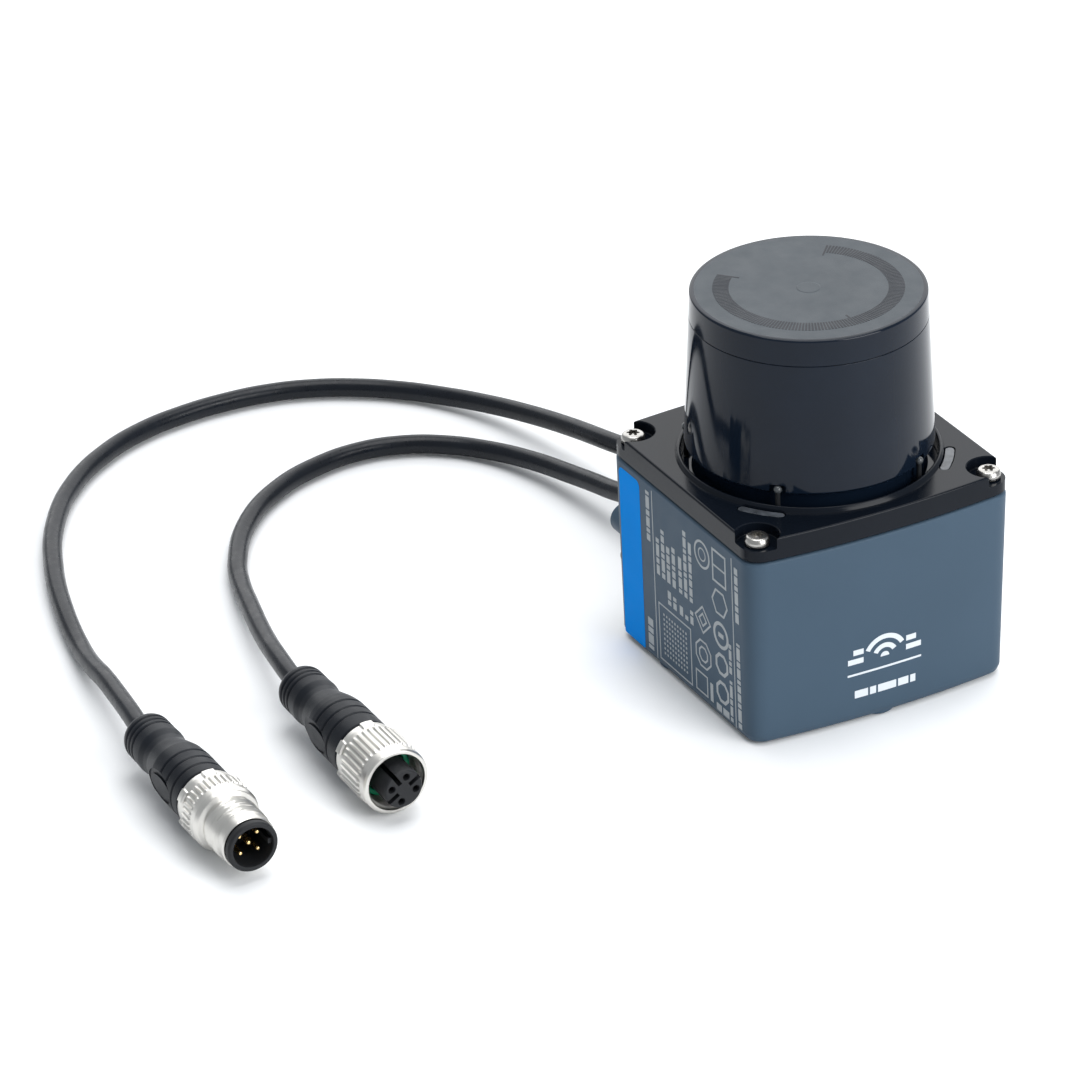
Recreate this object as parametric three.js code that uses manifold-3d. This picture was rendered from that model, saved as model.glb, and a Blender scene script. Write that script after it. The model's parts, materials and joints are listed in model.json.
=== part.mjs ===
// A compact 2D lidar scanner: a 60 mm die-cast housing with a domed rotating-mirror head and two
// short cables that end in M12 connectors. Millimetres, +Z up, +X is the front of the scanner.
import * as THREE from 'three';
import { mergeVertices } from 'three/addons/utils/BufferGeometryUtils.js';
import Module from 'manifold-3d';

const wasm = await Module();
wasm.setup();

// ---- driving dimensions -------------------------------------------------------------------
const GAP = 0.3;                    // clearance between pieces that touch
const HALF = 30;                    // half the width of the square body
const CROWN = 2;                    // how far the front and back faces bow out at their middle
const CORNER = 4;                   // vertical corner radius
const DRAFT = 0.75;                 // the housing is this much smaller per side at its foot
const PAD_H = 0.5;                  // mounting pads under the base
const HOUSING_TOP = 41.3;
const LID_BOTTOM = HOUSING_TOP + GAP;
const LID_TOP = 46.4;
const LID_UNDER = 43.7;             // underside of the lid plate
const WALL = 2.2;
const FLOOR_TOP = 3.5;

const LID_INSET = 0.12;             // the lid is this much smaller per side than the housing's top

const SCREW_X = 24.8;               // lid screw centres
const SCREW_Y = 26.4;
const POCKET_R = 4.4;               // round pocket about each screw
const POCKET_Z = 44;
const RIM_Z = 44.8;                 // top of the low rim at the corner outside the pocket

const TOTAL_H = 82.3;                // top of the hood cap
const SEAM_Z = 76.8;                // joint between hood and cap
const SKIRT_Z = 49.2;               // lower edge of the hood's skirt
const SKIRT_R = 25;
const CAP_R = 23.45;
const HOOD_WALL = 1.6;
const NECK_R = 23.2;
const OPENING_R = 25.7;             // opening in the lid round the hood
const FLANGE_R = 26.6;
const FLANGE_Z = 42.1;
const MONITOR_ANGLES = [-127, -45, 30, 105];

const CABLE_Z = 15.5;               // cable glands on the back wall
const CABLE_Y = 5.5;
const GLAND_END = -38;
const CORD_R = 2.1;
const CORD_HOLE_R = CORD_R + 0.35;  // passage for a cord in its gland and in its overmould
const PLUG_Z = 7.5;                // the connectors lie on the floor, along +X
const POWER_PLUG = { x: -33, y: -135.3 };
const DATA_PLUG = { x: -34.1, y: -101 };
const NUT_R = 7.2;

// Cord routes, from inside the gland to inside the connector.
const POWER_ROUTE = [
  [-26, 5.5, 15.5], [-34, 5.5, 15.5], [-42, 5.4, 15.4], [-60, 3.6, 13.8], [-82, -0.3, 10.6],
  [-98, -2.2, 7.8], [-112, -5, 5.4], [-124, -9, 3.6], [-134, -14.4, 2.5], [-142, -21.2, 2.2],
  [-148.2, -29, 2.2], [-153, -37.7, 2.2], [-155.9, -47, 2.2], [-156.9, -57, 2.2], [-156.4, -67, 2.2],
  [-154, -78, 2.2], [-148.6, -89.4, 2.2], [-139.3, -101, 2.2], [-125, -111.7, 2.2],
  [-107.6, -119.8, 2.2], [-90, -125.3, 2.2], [-73, -129, 2.4], [-64, -130.6, 3.7],
  [-55.7, -131.6, 5.2], [-46.1, -132.9, 6.3], [-38.9, -133.9, 7], [-28.5, -135.2, 7.5], [-20, -135.3, 7.5],
];
const DATA_ROUTE = [
  [-26, -5.5, 15.5], [-34, -5.5, 15.5], [-41, -5.6, 15.1], [-52, -6.5, 12.2], [-67, -8, 8],
  [-75.5, -8.8, 6.4], [-83, -9.8, 5.1], [-96, -12.8, 3.4], [-106.4, -17.6, 2.4], [-114, -24.4, 2.2],
  [-118.9, -32.6, 2.2], [-120.9, -42.1, 2.2], [-119.5, -52.8, 2.2], [-114.7, -64.2, 2.2],
  [-105, -75.9, 2.2], [-89.6, -85.9, 2.2], [-80, -89.6, 2.6],
  [-70.7, -92.3, 3.6], [-53.8, -96.8, 5.4], [-41.8, -99.3, 6.9], [-29.5, -100.9, 7.5], [-20, -101, 7.5],
];

const PLATE_Z = 22;                 // motor plate
const PLATE_TOP = 24;
const PLATE_R = 27;
const POST_R = 2.9;
const POST_AT = 25.2;
const BOARD_HALF = 21.8;
const POWER_BOARD_Z = 8;
const MAIN_BOARD_Z = 15.5;
const BOARD_T = 1.6;
const STANDOFF_AT = 17.5;

const SHAFT_R = 2;
const TURNTABLE_Z = 36;
const TURNTABLE_R = 20.5;
const OPTICS_BASE = 38.3;
const OPTICS_TOP = 73;
const OPTICS_FRONT = 11;
const OPTICS_BACK = -9;
const OPTICS_HALF = 13;
const RECEIVER_Z = 55;
const RECEIVER_R = 9.6;
const EMITTER_Z = 68.6;
const EMITTER_R = 3.6;

// ---- materials ----------------------------------------------------------------------------
function paint(color, roughness, metalness) {
  return new THREE.MeshStandardMaterial({ color, roughness, metalness });
}
const MATERIALS = {
  housing: () => paint(0x4c5c6c, 0.45, 0.35),
  gloss: () => paint(0x0b0c10, 0.12, 0),
  matte: () => paint(0x17181c, 0.65, 0),
  rubber: () => paint(0x141517, 0.8, 0),
  steel: () => paint(0xb9bab8, 0.3, 1),
  nickel: () => paint(0xcac8c2, 0.32, 1),
  gold: () => paint(0xd4a85a, 0.3, 1),
  window: () => paint(0x9aa3ad, 0.35, 0),
  green: () => paint(0x0d7a48, 0.55, 0),
  board: () => paint(0x14502f, 0.6, 0),
  aluminium: () => paint(0xa7abae, 0.4, 1),
  copper: () => paint(0x8c6a4a, 0.5, 0.6),
  glass: () => paint(0x5a6f86, 0.05, 0),
};

const group = new THREE.Group();
function addMesh(name, geometry, material) {
  const mesh = new THREE.Mesh(geometry, MATERIALS[material]());
  mesh.name = name;
  group.add(mesh);
  return mesh;
}

// ---- solids -------------------------------------------------------------------------------
function solidOf(geometry) {
  const bare = geometry.index ? geometry : mergeVertices(geometry);
  bare.deleteAttribute('normal');
  bare.deleteAttribute('uv');
  const merged = mergeVertices(bare, 1e-4);
  return new wasm.Manifold(new wasm.Mesh({
    numProp: 3,
    vertProperties: new Float32Array(merged.attributes.position.array),
    triVerts: new Uint32Array(merged.index.array),
  }));
}
function geometryOf(solid) {
  const mesh = solid.getMesh();
  const geometry = new THREE.BufferGeometry();
  geometry.setAttribute('position', new THREE.BufferAttribute(mesh.vertProperties, 3));
  geometry.setIndex(new THREE.BufferAttribute(mesh.triVerts, 1));
  geometry.computeVertexNormals();
  return geometry;
}
function cut(base, ...tools) {
  return tools.reduce((solid, tool) => solid.subtract(tool), base);
}
function join(base, ...tools) {
  return tools.reduce((solid, tool) => solid.add(tool), base);
}

// A profile of [radius, height] points turned about Z: outward along the bottom, then up and back.
function latheZ(profile, segments = 24) {
  const points = profile.map(([r, z]) => new THREE.Vector2(r, z));
  const [first] = points;
  const last = points[points.length - 1];
  if (first.x > 0 || last.x > 0) points.push(first.clone());
  const geometry = new THREE.LatheGeometry(points, segments);
  geometry.rotateX(Math.PI / 2);
  return geometry;
}
// The same about the X axis, with heights running along +X.
function latheX(profile, segments = 24) {
  return latheZ(profile, segments).rotateY(Math.PI / 2);
}
function rod(radius, z0, z1, segments = 16) {
  return latheZ([[0, z0], [radius, z0], [radius, z1], [0, z1]], segments);
}
function rodX(radius, x0, x1, segments = 16) {
  return rod(radius, x0, x1, segments).rotateY(Math.PI / 2);
}
function ring(inner, outer, z0, z1, segments = 28) {
  return latheZ([[inner, z0], [outer, z0], [outer, z1], [inner, z1]], segments);
}
function box(x0, x1, y0, y1, z0, z1) {
  return new THREE.BoxGeometry(x1 - x0, y1 - y0, z1 - z0)
    .translate((x0 + x1) / 2, (y0 + y1) / 2, (z0 + z1) / 2);
}
function extrude(shape, z0, z1, curveSegments = 8) {
  return new THREE.ExtrudeGeometry(shape, { depth: z1 - z0, bevelEnabled: false, curveSegments })
    .translate(0, 0, z0);
}
function corners(dx, dy) {
  return [[dx, -dy], [dx, dy], [-dx, dy], [-dx, -dy]];
}

// Rounded square outline with crowned front and back, drawn this far inside the body's outline.
function bodyOutline(inset) {
  const h = HALF - inset;
  const r = Math.max(CORNER - inset / 2, 1);
  const run = h - r;
  const sag = CROWN * (run / HALF) ** 2;
  const slope = 2 * sag / run;
  const edge = h - sag;
  const bend = edge - slope * r;
  const shape = new THREE.Shape();
  shape.moveTo(-bend + r, -h);
  shape.lineTo(bend - r, -h);
  shape.quadraticCurveTo(bend, -h, edge, -run);
  shape.quadraticCurveTo(h + sag, 0, edge, run);
  shape.quadraticCurveTo(bend, h, bend - r, h);
  shape.lineTo(-bend + r, h);
  shape.quadraticCurveTo(-bend, h, -edge, run);
  shape.quadraticCurveTo(-h - sag, 0, -edge, -run);
  shape.quadraticCurveTo(-bend, -h, -bend + r, -h);
  const points = shape.getPoints(5);
  return points.filter((p, i) => p.distanceTo(points[(i + 1) % points.length]) > 1e-3);
}
// A closed skin through outlines of equal length, given as [z, points] from the bottom up.
function loft(sections) {
  const count = sections[0][1].length;
  const positions = sections.flatMap(([z, points]) => points.flatMap((p) => [p.x, p.y, z]));
  const faces = [];
  for (let k = 0; k < sections.length - 1; k += 1) {
    for (let i = 0; i < count; i += 1) {
      const j = (i + 1) % count;
      const a = k * count + i;
      const b = k * count + j;
      faces.push(a, b, b + count, a, b + count, a + count);
    }
  }
  const top = (sections.length - 1) * count;
  for (const [a, b, c] of THREE.ShapeUtils.triangulateShape(sections[0][1], [])) faces.push(a, c, b);
  for (const [a, b, c] of THREE.ShapeUtils.triangulateShape(sections[0][1], [])) {
    faces.push(a + top, b + top, c + top);
  }
  const geometry = new THREE.BufferGeometry();
  geometry.setAttribute('position', new THREE.Float32BufferAttribute(positions, 3));
  geometry.setIndex(faces);
  return geometry;
}
function bodyLoft(levels) {
  return loft(levels.map(([z, inset]) => [z, bodyOutline(inset)]));
}

// ---- housing ------------------------------------------------------------------------------
const FOOT_Z = PAD_H + 0.9;          // the drafted walls start here
const REAR_BOSS = { y: 24, z: 22, r: 3.3, end: -34 };
const VENT = { y: -24.2, z: 15.2, stem: 2 };
const PADS = [[0, 0, 8], [24.9, 0, 4], [-10, -24.9, 4], [-10, 24.9, 4]];

// The outside of the back wall at this place.
function backWall(y, z) {
  const inset = DRAFT * (HOUSING_TOP - z) / (HOUSING_TOP - FOOT_Z);
  return -HALF + inset + CROWN * (y / HALF) ** 2;
}
function postSolid() {
  return [[POST_AT, 0], [-POST_AT, 0], [0, POST_AT], [0, -POST_AT]]
    .map(([x, y]) => solidOf(rod(POST_R, 0, PLATE_Z - GAP, 12).translate(x, y, 0)))
    .reduce((sum, post) => sum.add(post));
}
function makeHousing() {
  const shell = solidOf(bodyLoft([
    [PAD_H, DRAFT + 1], [PAD_H + 0.25, DRAFT + 0.45], [FOOT_Z, DRAFT], [HOUSING_TOP, 0],
  ]));
  const columns = corners(SCREW_X, SCREW_Y)
    .map(([x, y]) => solidOf(rod(3.6, 0, HOUSING_TOP + 1, 12).translate(x, y, 0)));
  const hollow = cut(
    solidOf(bodyLoft([[FLOOR_TOP, DRAFT + WALL], [HOUSING_TOP + 1, WALL]])),
    ...columns,
    postSolid(),
  );
  const pads = PADS.map(([x, y, r]) => solidOf(rod(r, 0, FLOOR_TOP - 1, 20).translate(x, y, 0)));
  const bosses = [-REAR_BOSS.y, REAR_BOSS.y]
    .map((y) => solidOf(rodX(REAR_BOSS.r, REAR_BOSS.end, -HALF + 3.5).translate(0, y, REAR_BOSS.z)));
  const holes = corners(SCREW_X, SCREW_Y)
    .map(([x, y]) => solidOf(rod(1.65, 31, HOUSING_TOP + 2, 10).translate(x, y, 0)));
  const plateHoles = [POST_AT, -POST_AT]
    .map((x) => solidOf(rod(1.2, 14, PLATE_Z, 12).translate(x, 0, 0)));
  const bossHoles = [-REAR_BOSS.y, REAR_BOSS.y]
    .map((y) => solidOf(rodX(1.3, REAR_BOSS.end - 1, -HALF + 1, 12).translate(0, y, REAR_BOSS.z)));
  const baseHoles = [-16, 16].map((y) => solidOf(rod(1.35, 0, FLOOR_TOP - 0.8, 10).translate(0, y, 0)));
  const glandHoles = [-CABLE_Y, CABLE_Y]
    .map((y) => solidOf(rodX(3.2, -HALF - 2, -HALF + 5).translate(0, y, CABLE_Z)));
  const ventEnd = backWall(VENT.y, VENT.z) + VENT.stem + GAP;
  const ventHole = solidOf(rodX(2.2, -HALF - 2, ventEnd).translate(0, VENT.y, VENT.z));
  const housing = cut(join(shell, ...pads, ...bosses), hollow, ...holes, ...plateHoles,
    ...bossHoles, ...baseHoles, ...glandHoles, ventHole);
  addMesh('housing', geometryOf(housing), 'housing');
}

// ---- lid ----------------------------------------------------------------------------------
const GASKET = { outer: 0.55, inner: 1.45, top: LID_BOTTOM + 0.9 };
const WINDOW = { r0: 26.9, r1: 28.8, from: 40.5, to: 60.5 };

// A curved slot with round ends, on a circle round the hood, grown by the given clearance.
function windowShape(side, clearance) {
  const middle = (WINDOW.r0 + WINDOW.r1) / 2;
  const half = (WINDOW.r1 - WINDOW.r0) / 2 + clearance;
  const endAngle = (WINDOW.r1 - WINDOW.r0) / 2 / middle;
  const a0 = THREE.MathUtils.degToRad(side * WINDOW.from) + side * endAngle;
  const a1 = THREE.MathUtils.degToRad(side * WINDOW.to) - side * endAngle;
  const [from, to] = side > 0 ? [a0, a1] : [a1, a0];
  const shape = new THREE.Shape();
  shape.absarc(0, 0, middle + half, from, to, false);
  shape.absarc(middle * Math.cos(to), middle * Math.sin(to), half, to, to + Math.PI, false);
  shape.absarc(0, 0, middle - half, to, from, true);
  shape.absarc(middle * Math.cos(from), middle * Math.sin(from), half, from + Math.PI,
    from + 2 * Math.PI, false);
  return shape;
}
function pocketSolid(x, y) {
  const sx = Math.sign(x);
  const sy = Math.sign(y);
  const far = HALF + 2;
  const span = (a, b) => [Math.min(a, b), Math.max(a, b)];
  return join(
    solidOf(rod(POCKET_R, POCKET_Z, LID_TOP + 1, 20).translate(x, y, 0)),
    solidOf(box(...span(x, sx * far), ...span(y, sy * far), RIM_Z, LID_TOP + 1)),
  );
}
function makeLid() {
  const plate = solidOf(bodyLoft([
    [LID_BOTTOM, LID_INSET], [LID_TOP - 0.45, LID_INSET], [LID_TOP - 0.15, LID_INSET + 0.12],
    [LID_TOP, LID_INSET + 0.4],
  ]));
  const columns = corners(SCREW_X, SCREW_Y)
    .map(([x, y]) => solidOf(rod(POCKET_R + 0.4, 0, LID_TOP, 12).translate(x, y, 0)));
  const under = cut(solidOf(bodyLoft([[LID_BOTTOM - 1, WALL], [LID_UNDER, WALL]])), ...columns);
  const groove = solidOf(bodyLoft([
    [LID_BOTTOM - 1, GASKET.outer - 0.2], [GASKET.top + 0.25, GASKET.outer - 0.2],
  ])).subtract(solidOf(bodyLoft([
    [LID_BOTTOM - 2, GASKET.inner + 0.2], [LID_TOP, GASKET.inner + 0.2],
  ])));
  const bead = solidOf(latheZ([
    [OPENING_R - 1, LID_TOP - 1], [OPENING_R + 1, LID_TOP - 1], [OPENING_R + 1, LID_TOP],
    [OPENING_R + 0.8, LID_TOP + 0.7], [OPENING_R + 0.5, LID_TOP + 1], [OPENING_R + 0.2, LID_TOP + 0.9],
    [OPENING_R - 0.1, LID_TOP + 0.5], [OPENING_R - 1, LID_TOP + 0.5],
  ], 36));
  const opening = solidOf(rod(OPENING_R, LID_BOTTOM - 1, LID_TOP + 2, 36));
  const pockets = corners(SCREW_X, SCREW_Y).map(([x, y]) => pocketSolid(x, y));
  const holes = corners(SCREW_X, SCREW_Y)
    .map(([x, y]) => solidOf(rod(1.75, LID_BOTTOM - 1, POCKET_Z + 1, 10).translate(x, y, 0)));
  const slots = [-1, 1]
    .map((side) => solidOf(extrude(windowShape(side, 0.2), LID_UNDER - 1, LID_TOP + 1, 5)));
  const lid = cut(join(plate, bead), under, groove, opening, ...pockets, ...holes, ...slots);
  addMesh('lid_frame', geometryOf(lid), 'gloss');
}
function makeGasket() {
  const bottom = HOUSING_TOP + 0.2;
  const outer = solidOf(bodyLoft([[bottom, GASKET.outer], [GASKET.top, GASKET.outer]]));
  const inner = solidOf(bodyLoft([[bottom - 1, GASKET.inner], [GASKET.top + 1, GASKET.inner]]));
  addMesh('lid_gasket', geometryOf(outer.subtract(inner)), 'rubber');
}
function makeStatusWindows() {
  for (const [side, name] of [[-1, 'status_window_left'], [1, 'status_window_right']]) {
    addMesh(name, extrude(windowShape(side, 0), LID_UNDER, LID_TOP - 0.05, 5), 'window');
  }
}

// Six-lobed driver recess.
function torxShape(outer, inner) {
  const shape = new THREE.Shape();
  const steps = 12;
  for (let i = 0; i <= steps; i += 1) {
    const angle = i / steps * Math.PI * 2;
    const radius = (outer + inner) / 2 + (outer - inner) / 2 * Math.cos(6 * angle);
    const point = [radius * Math.cos(angle), radius * Math.sin(angle)];
    if (i === 0) shape.moveTo(...point);
    else shape.lineTo(...point);
  }
  return shape;
}
function makeLidScrews() {
  const seat = POCKET_Z + 0.2;
  const head = solidOf(latheZ([
    [0, 32], [1.1, 32], [1.4, 32.6], [1.4, seat], [2.5, seat], [2.55, seat + 0.9],
    [2.2, seat + 1.6], [0, seat + 2.05],
  ], 14));
  const recess = solidOf(extrude(torxShape(1.45, 0.95), seat + 0.9, seat + 3));
  const screw = geometryOf(head.subtract(recess));
  corners(SCREW_X, SCREW_Y).forEach(([x, y], i) => {
    addMesh(`lid_screw_${i + 1}`, screw.clone(), 'steel').position.set(x, y, 0);
  });
}

// ---- optics hood --------------------------------------------------------------------------
// Outer radius of the slightly conical hood at a height.
function hoodRadius(z) {
  return SKIRT_R + (CAP_R - SKIRT_R) * (z - SKIRT_Z) / (TOTAL_H - SKIRT_Z);
}
function makeHood() {
  const hoodTop = SEAM_Z - GAP / 2;
  const body = solidOf(latheZ([
    [NECK_R - HOOD_WALL, FLANGE_Z], [FLANGE_R, FLANGE_Z], [FLANGE_R, LID_UNDER - GAP],
    [NECK_R, LID_UNDER - GAP], [NECK_R, SKIRT_Z], [SKIRT_R - 0.7, SKIRT_Z],
    [SKIRT_R - 0.2, SKIRT_Z + 0.2], [SKIRT_R, SKIRT_Z + 0.7], [hoodRadius(hoodTop), hoodTop],
    [hoodRadius(hoodTop) - HOOD_WALL, hoodTop], [hoodRadius(54) - HOOD_WALL, 54],
    [NECK_R - HOOD_WALL, SKIRT_Z + 0.6],
  ], 36));
  const notches = MONITOR_ANGLES.map((angle) => solidOf(
    box(23.75, 27, -1.7, 1.7, SKIRT_Z - 1, SKIRT_Z + 2).rotateZ(THREE.MathUtils.degToRad(angle)),
  ));
  addMesh('optics_hood', geometryOf(cut(body, ...notches)), 'gloss');
}
function makeHoodCap() {
  const base = SEAM_Z + GAP / 2;
  const spigot = hoodRadius(SEAM_Z) - HOOD_WALL - GAP;
  const bend = 0.8;
  const rim = hoodRadius(TOTAL_H - bend);
  const arc = [0, 1, 2, 3].map((i) => {
    const angle = i / 3 * Math.PI / 2;
    return [rim - bend + bend * Math.cos(angle), TOTAL_H - bend + bend * Math.sin(angle)];
  });
  addMesh('hood_cap', latheZ([
    [spigot - 1, base - 1.6], [spigot, base - 1.6], [spigot, base], [hoodRadius(base), base],
    ...arc, [0, TOTAL_H], [0, TOTAL_H - 1.8], [spigot - 1, TOTAL_H - 1.8],
  ], 36), 'gloss');
}
function makeHoodFixing() {
  addMesh('hood_clamp_ring', ring(NECK_R - 1.3, FLANGE_R, FLANGE_Z - 1.8, FLANGE_Z - GAP, 24),
    'aluminium');
  addMesh('hood_seal', ring(FLANGE_R + 0.2, WINDOW.r0 + 0.5, FLANGE_Z, LID_UNDER - 0.2, 24), 'rubber');
}
// Small ball lenses round the foot of the hood that watch for dirt on it.
function makeMonitorLenses() {
  const centre = SKIRT_Z + 0.95;
  const ball = 0.85;
  const profile = [[0, LID_UNDER], [0.5, LID_UNDER], [0.5, centre - 0.7]];
  for (let i = 0; i <= 4; i += 1) {
    const angle = -0.9 + i / 4 * (Math.PI / 2 + 0.9);
    profile.push([Math.max(ball * Math.cos(angle), 0), centre + ball * Math.sin(angle)]);
  }
  profile[profile.length - 1][0] = 0;
  MONITOR_ANGLES.forEach((angle, i) => {
    const a = THREE.MathUtils.degToRad(angle);
    addMesh(`monitor_lens_${i + 1}`, latheZ(profile, 8), 'glass')
      .position.set(24.75 * Math.cos(a), 24.75 * Math.sin(a), 0);
  });
}

// ---- back wall fittings and cords ---------------------------------------------------------
function makeVentPlug() {
  const wall = backWall(VENT.y, VENT.z);
  addMesh('vent_plug', latheX([
    [0, wall - 3], [2.1, wall - 3], [2.6, wall - 2.6], [2.6, wall - GAP - 0.2], [1.9, wall - GAP - 0.2],
    [1.9, wall + VENT.stem], [0, wall + VENT.stem],
  ], 18).translate(0, VENT.y, VENT.z), 'matte');
}
function makeGlands() {
  const face = backWall(CABLE_Y, CABLE_Z) - GAP;
  const profile = [
    [CORD_HOLE_R, GLAND_END], [3, GLAND_END], [3.6, GLAND_END + 0.6], [3.8, GLAND_END + 3],
    [4.6, GLAND_END + 3.4], [4.7, face], [2.9, face], [2.9, -26.5], [CORD_HOLE_R, -26.5],
  ];
  addMesh('gland_power', latheX(profile, 18).translate(0, CABLE_Y, CABLE_Z), 'rubber');
  addMesh('gland_data', latheX(profile, 18).translate(0, -CABLE_Y, CABLE_Z), 'rubber');
}
function makeCord(name, route) {
  const path = new THREE.CatmullRomCurve3(route.map((p) => new THREE.Vector3(...p)));
  path.curveType = 'centripetal';
  const section = new THREE.Shape();
  section.absarc(0, 0, CORD_R, 0, Math.PI * 2, false);
  const steps = Math.round(path.getLength() / (CORD_R * 3.6));
  const tube = new THREE.ExtrudeGeometry(section, {
    steps, extrudePath: path, bevelEnabled: false, curveSegments: 4,
  });
  addMesh(name, tube, 'rubber');
}

// ---- connectors ---------------------------------------------------------------------------
// A waisted overmould; distances run along +X from the cable end.
function overmould(frontStart, shoulder, neckEnd, frontR) {
  const grooves = (from, pitch, r) => [0, 1, 2].flatMap((i) => [
    [r, from + i * pitch], [r - 0.35, from + i * pitch + 0.35], [r, from + i * pitch + 0.7],
  ]);
  const body = solidOf(latheX([
    [CORD_HOLE_R, 5], [3.5, 5], [4.6, 5.5], [5.05, 6.4], ...grooves(7, 1.4, 5.15),
    [5.2, 13], [4.95, 14.8], [4.9, 16.6], [5.3, 18.4], [6, 20.6], [frontR - 0.1, frontStart],
    ...grooves(frontStart + 1.4, 2.9, frontR), [frontR, shoulder], [4.6, shoulder],
    [4.6, neckEnd], [CORD_HOLE_R, neckEnd],
  ], 20));
  const oval = new THREE.Shape();
  oval.absellipse(24.6, 0, 5.3, 2.9, 0, Math.PI * 2);
  const depth = frontR - 0.75;
  const recess = solidOf(extrude(oval, depth, depth + 4, 6));
  return geometryOf(cut(body, recess.rotate([90, 0, 0]), recess.rotate([-90, 0, 0])));
}
// Straight ribs round a nut, between two stations.
function knurl(ribs, outer, inner, x0, x1) {
  const shape = new THREE.Shape();
  const pitch = Math.PI * 2 / ribs;
  for (let i = 0; i < ribs; i += 1) {
    [[-0.32, inner], [-0.2, outer], [0.2, outer], [0.32, inner]].forEach(([t, r], k) => {
      const angle = (i + t) * pitch;
      const point = [r * Math.cos(angle), r * Math.sin(angle)];
      if (i === 0 && k === 0) shape.moveTo(...point);
      else shape.lineTo(...point);
    });
  }
  return solidOf(extrude(shape, x0, x1).rotateY(Math.PI / 2));
}
// Six square lugs on the cable side of a nut.
function lugs(outer, x0, x1) {
  const list = [0, 60, 120, 180, 240, 300].map((angle) => solidOf(
    box(x0, x1, 5.5, outer, -1.2, 1.2).rotateX(THREE.MathUtils.degToRad(angle + 15)),
  ));
  return join(...list);
}
function makePowerPlug() {
  const at = (mesh) => mesh.position.set(POWER_PLUG.x, POWER_PLUG.y, PLUG_Z);
  at(addMesh('power_overmould', overmould(23, 33.4, 40.5, 6.3), 'rubber'));
  const thread = [];
  for (let i = 0; i < 4; i += 1) {
    thread.push([6, 44 + i * 1.5], [5.5, 44.75 + i * 1.5]);
  }
  const nut = solidOf(latheX([
    [4.95, 33.8], [6.5, 33.8], [6.65, 36], [6.65, 40.3], [7, 40.6], [7, 42.2], [6.5, 43.2],
    [5.5, 43.5], ...thread, [5.6, 50], [5.6, 52.2], [5.4, 52.5], [5.3, 52.5], [5.3, 41], [4.95, 40.7],
  ], 24));
  const ribs = knurl(18, 7.1, 6.5, 36.4, 40);
  const back = lugs(7.05, 34.3, 36.4);
  const core = solidOf(rodX(6, 30, 60));
  const grip = join(ribs, back).subtract(core);
  at(addMesh('power_nut', geometryOf(nut.add(grip)), 'nickel'));
  const cup = solidOf(latheX([
    [0, 40.9], [4.85, 40.9], [4.85, 52.8], [5.3, 52.8], [5.3, 53.9], [5, 54.3], [4.25, 54.3],
    [4.15, 53.9], [4.15, 45.5], [0, 45.5],
  ], 20));
  const key = solidOf(box(45, 53.5, 3.4, 4.5, -0.55, 0.55));
  const spots = [[0, 0], ...corners(1.88, 1.88)];
  const holes = spots.map(([y, z]) => solidOf(rodX(0.8, 43.5, 47, 12).translate(0, y, z)));
  at(addMesh('power_insert', geometryOf(cut(cup.add(key), ...holes)), 'matte'));
  spots.forEach(([y, z], i) => {
    const pin = latheX([[0, 43.8], [0.5, 43.8], [0.5, 51.8], [0, 52.3]], 8);
    const mesh = addMesh(`power_pin_${i + 1}`, pin, 'gold');
    mesh.position.set(POWER_PLUG.x, POWER_PLUG.y + y, PLUG_Z + z);
  });
}
function makeDataPlug() {
  const at = (mesh) => mesh.position.set(DATA_PLUG.x, DATA_PLUG.y, PLUG_Z);
  at(addMesh('data_overmould', overmould(22.6, 34.3, 37.8, 6.4), 'rubber'));
  const thread = [];
  for (let i = 4; i >= 0; i -= 1) {
    thread.push([6, 41 + i * 1.5], [5.55, 40.25 + i * 1.5]);
  }
  const nut = solidOf(latheX([
    [4.9, 34.7], [6.6, 34.7], [6.75, 36.6], [6.75, 45.4], [7, 45.7], [7, 47.3], [6.6, 48],
    [6.1, 48], ...thread, [6, 37.9], [4.9, 37.6],
  ], 24));
  const ribs = knurl(18, NUT_R, 6.6, 37, 45.4);
  const back = lugs(7.1, 34.9, 37);
  const core = solidOf(rodX(6.4, 30, 60, 24));
  const grip = join(ribs, back).subtract(core);
  at(addMesh('data_nut', geometryOf(nut.add(grip)), 'nickel'));
  at(addMesh('data_seal', latheX([[4.35, 38.2], [5.4, 38.2], [5.4, 43], [4.35, 43]]), 'green'));
  const turn = THREE.MathUtils.degToRad(-13.5);
  const holes = [0, 90, 180, 270].map((angle) => {
    const a = THREE.MathUtils.degToRad(angle) + turn;
    return solidOf(rodX(0.75, 43, 52, 12).translate(0, 2.65 * Math.cos(a), 2.65 * Math.sin(a)));
  });
  const slots = [45, 135, 225].map((angle) => solidOf(
    box(angle === 135 ? 39 : 47, 52, 1, 5, -0.45, 0.45)
      .rotateX(THREE.MathUtils.degToRad(angle) + turn),
  ));
  const carrier = solidOf(latheX([[0, 38.2], [4.05, 38.2], [4.05, 50.8], [3.8, 51.1], [0, 51.1]], 20));
  at(addMesh('data_insert', geometryOf(cut(carrier, ...holes, ...slots)), 'matte'));
}

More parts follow.
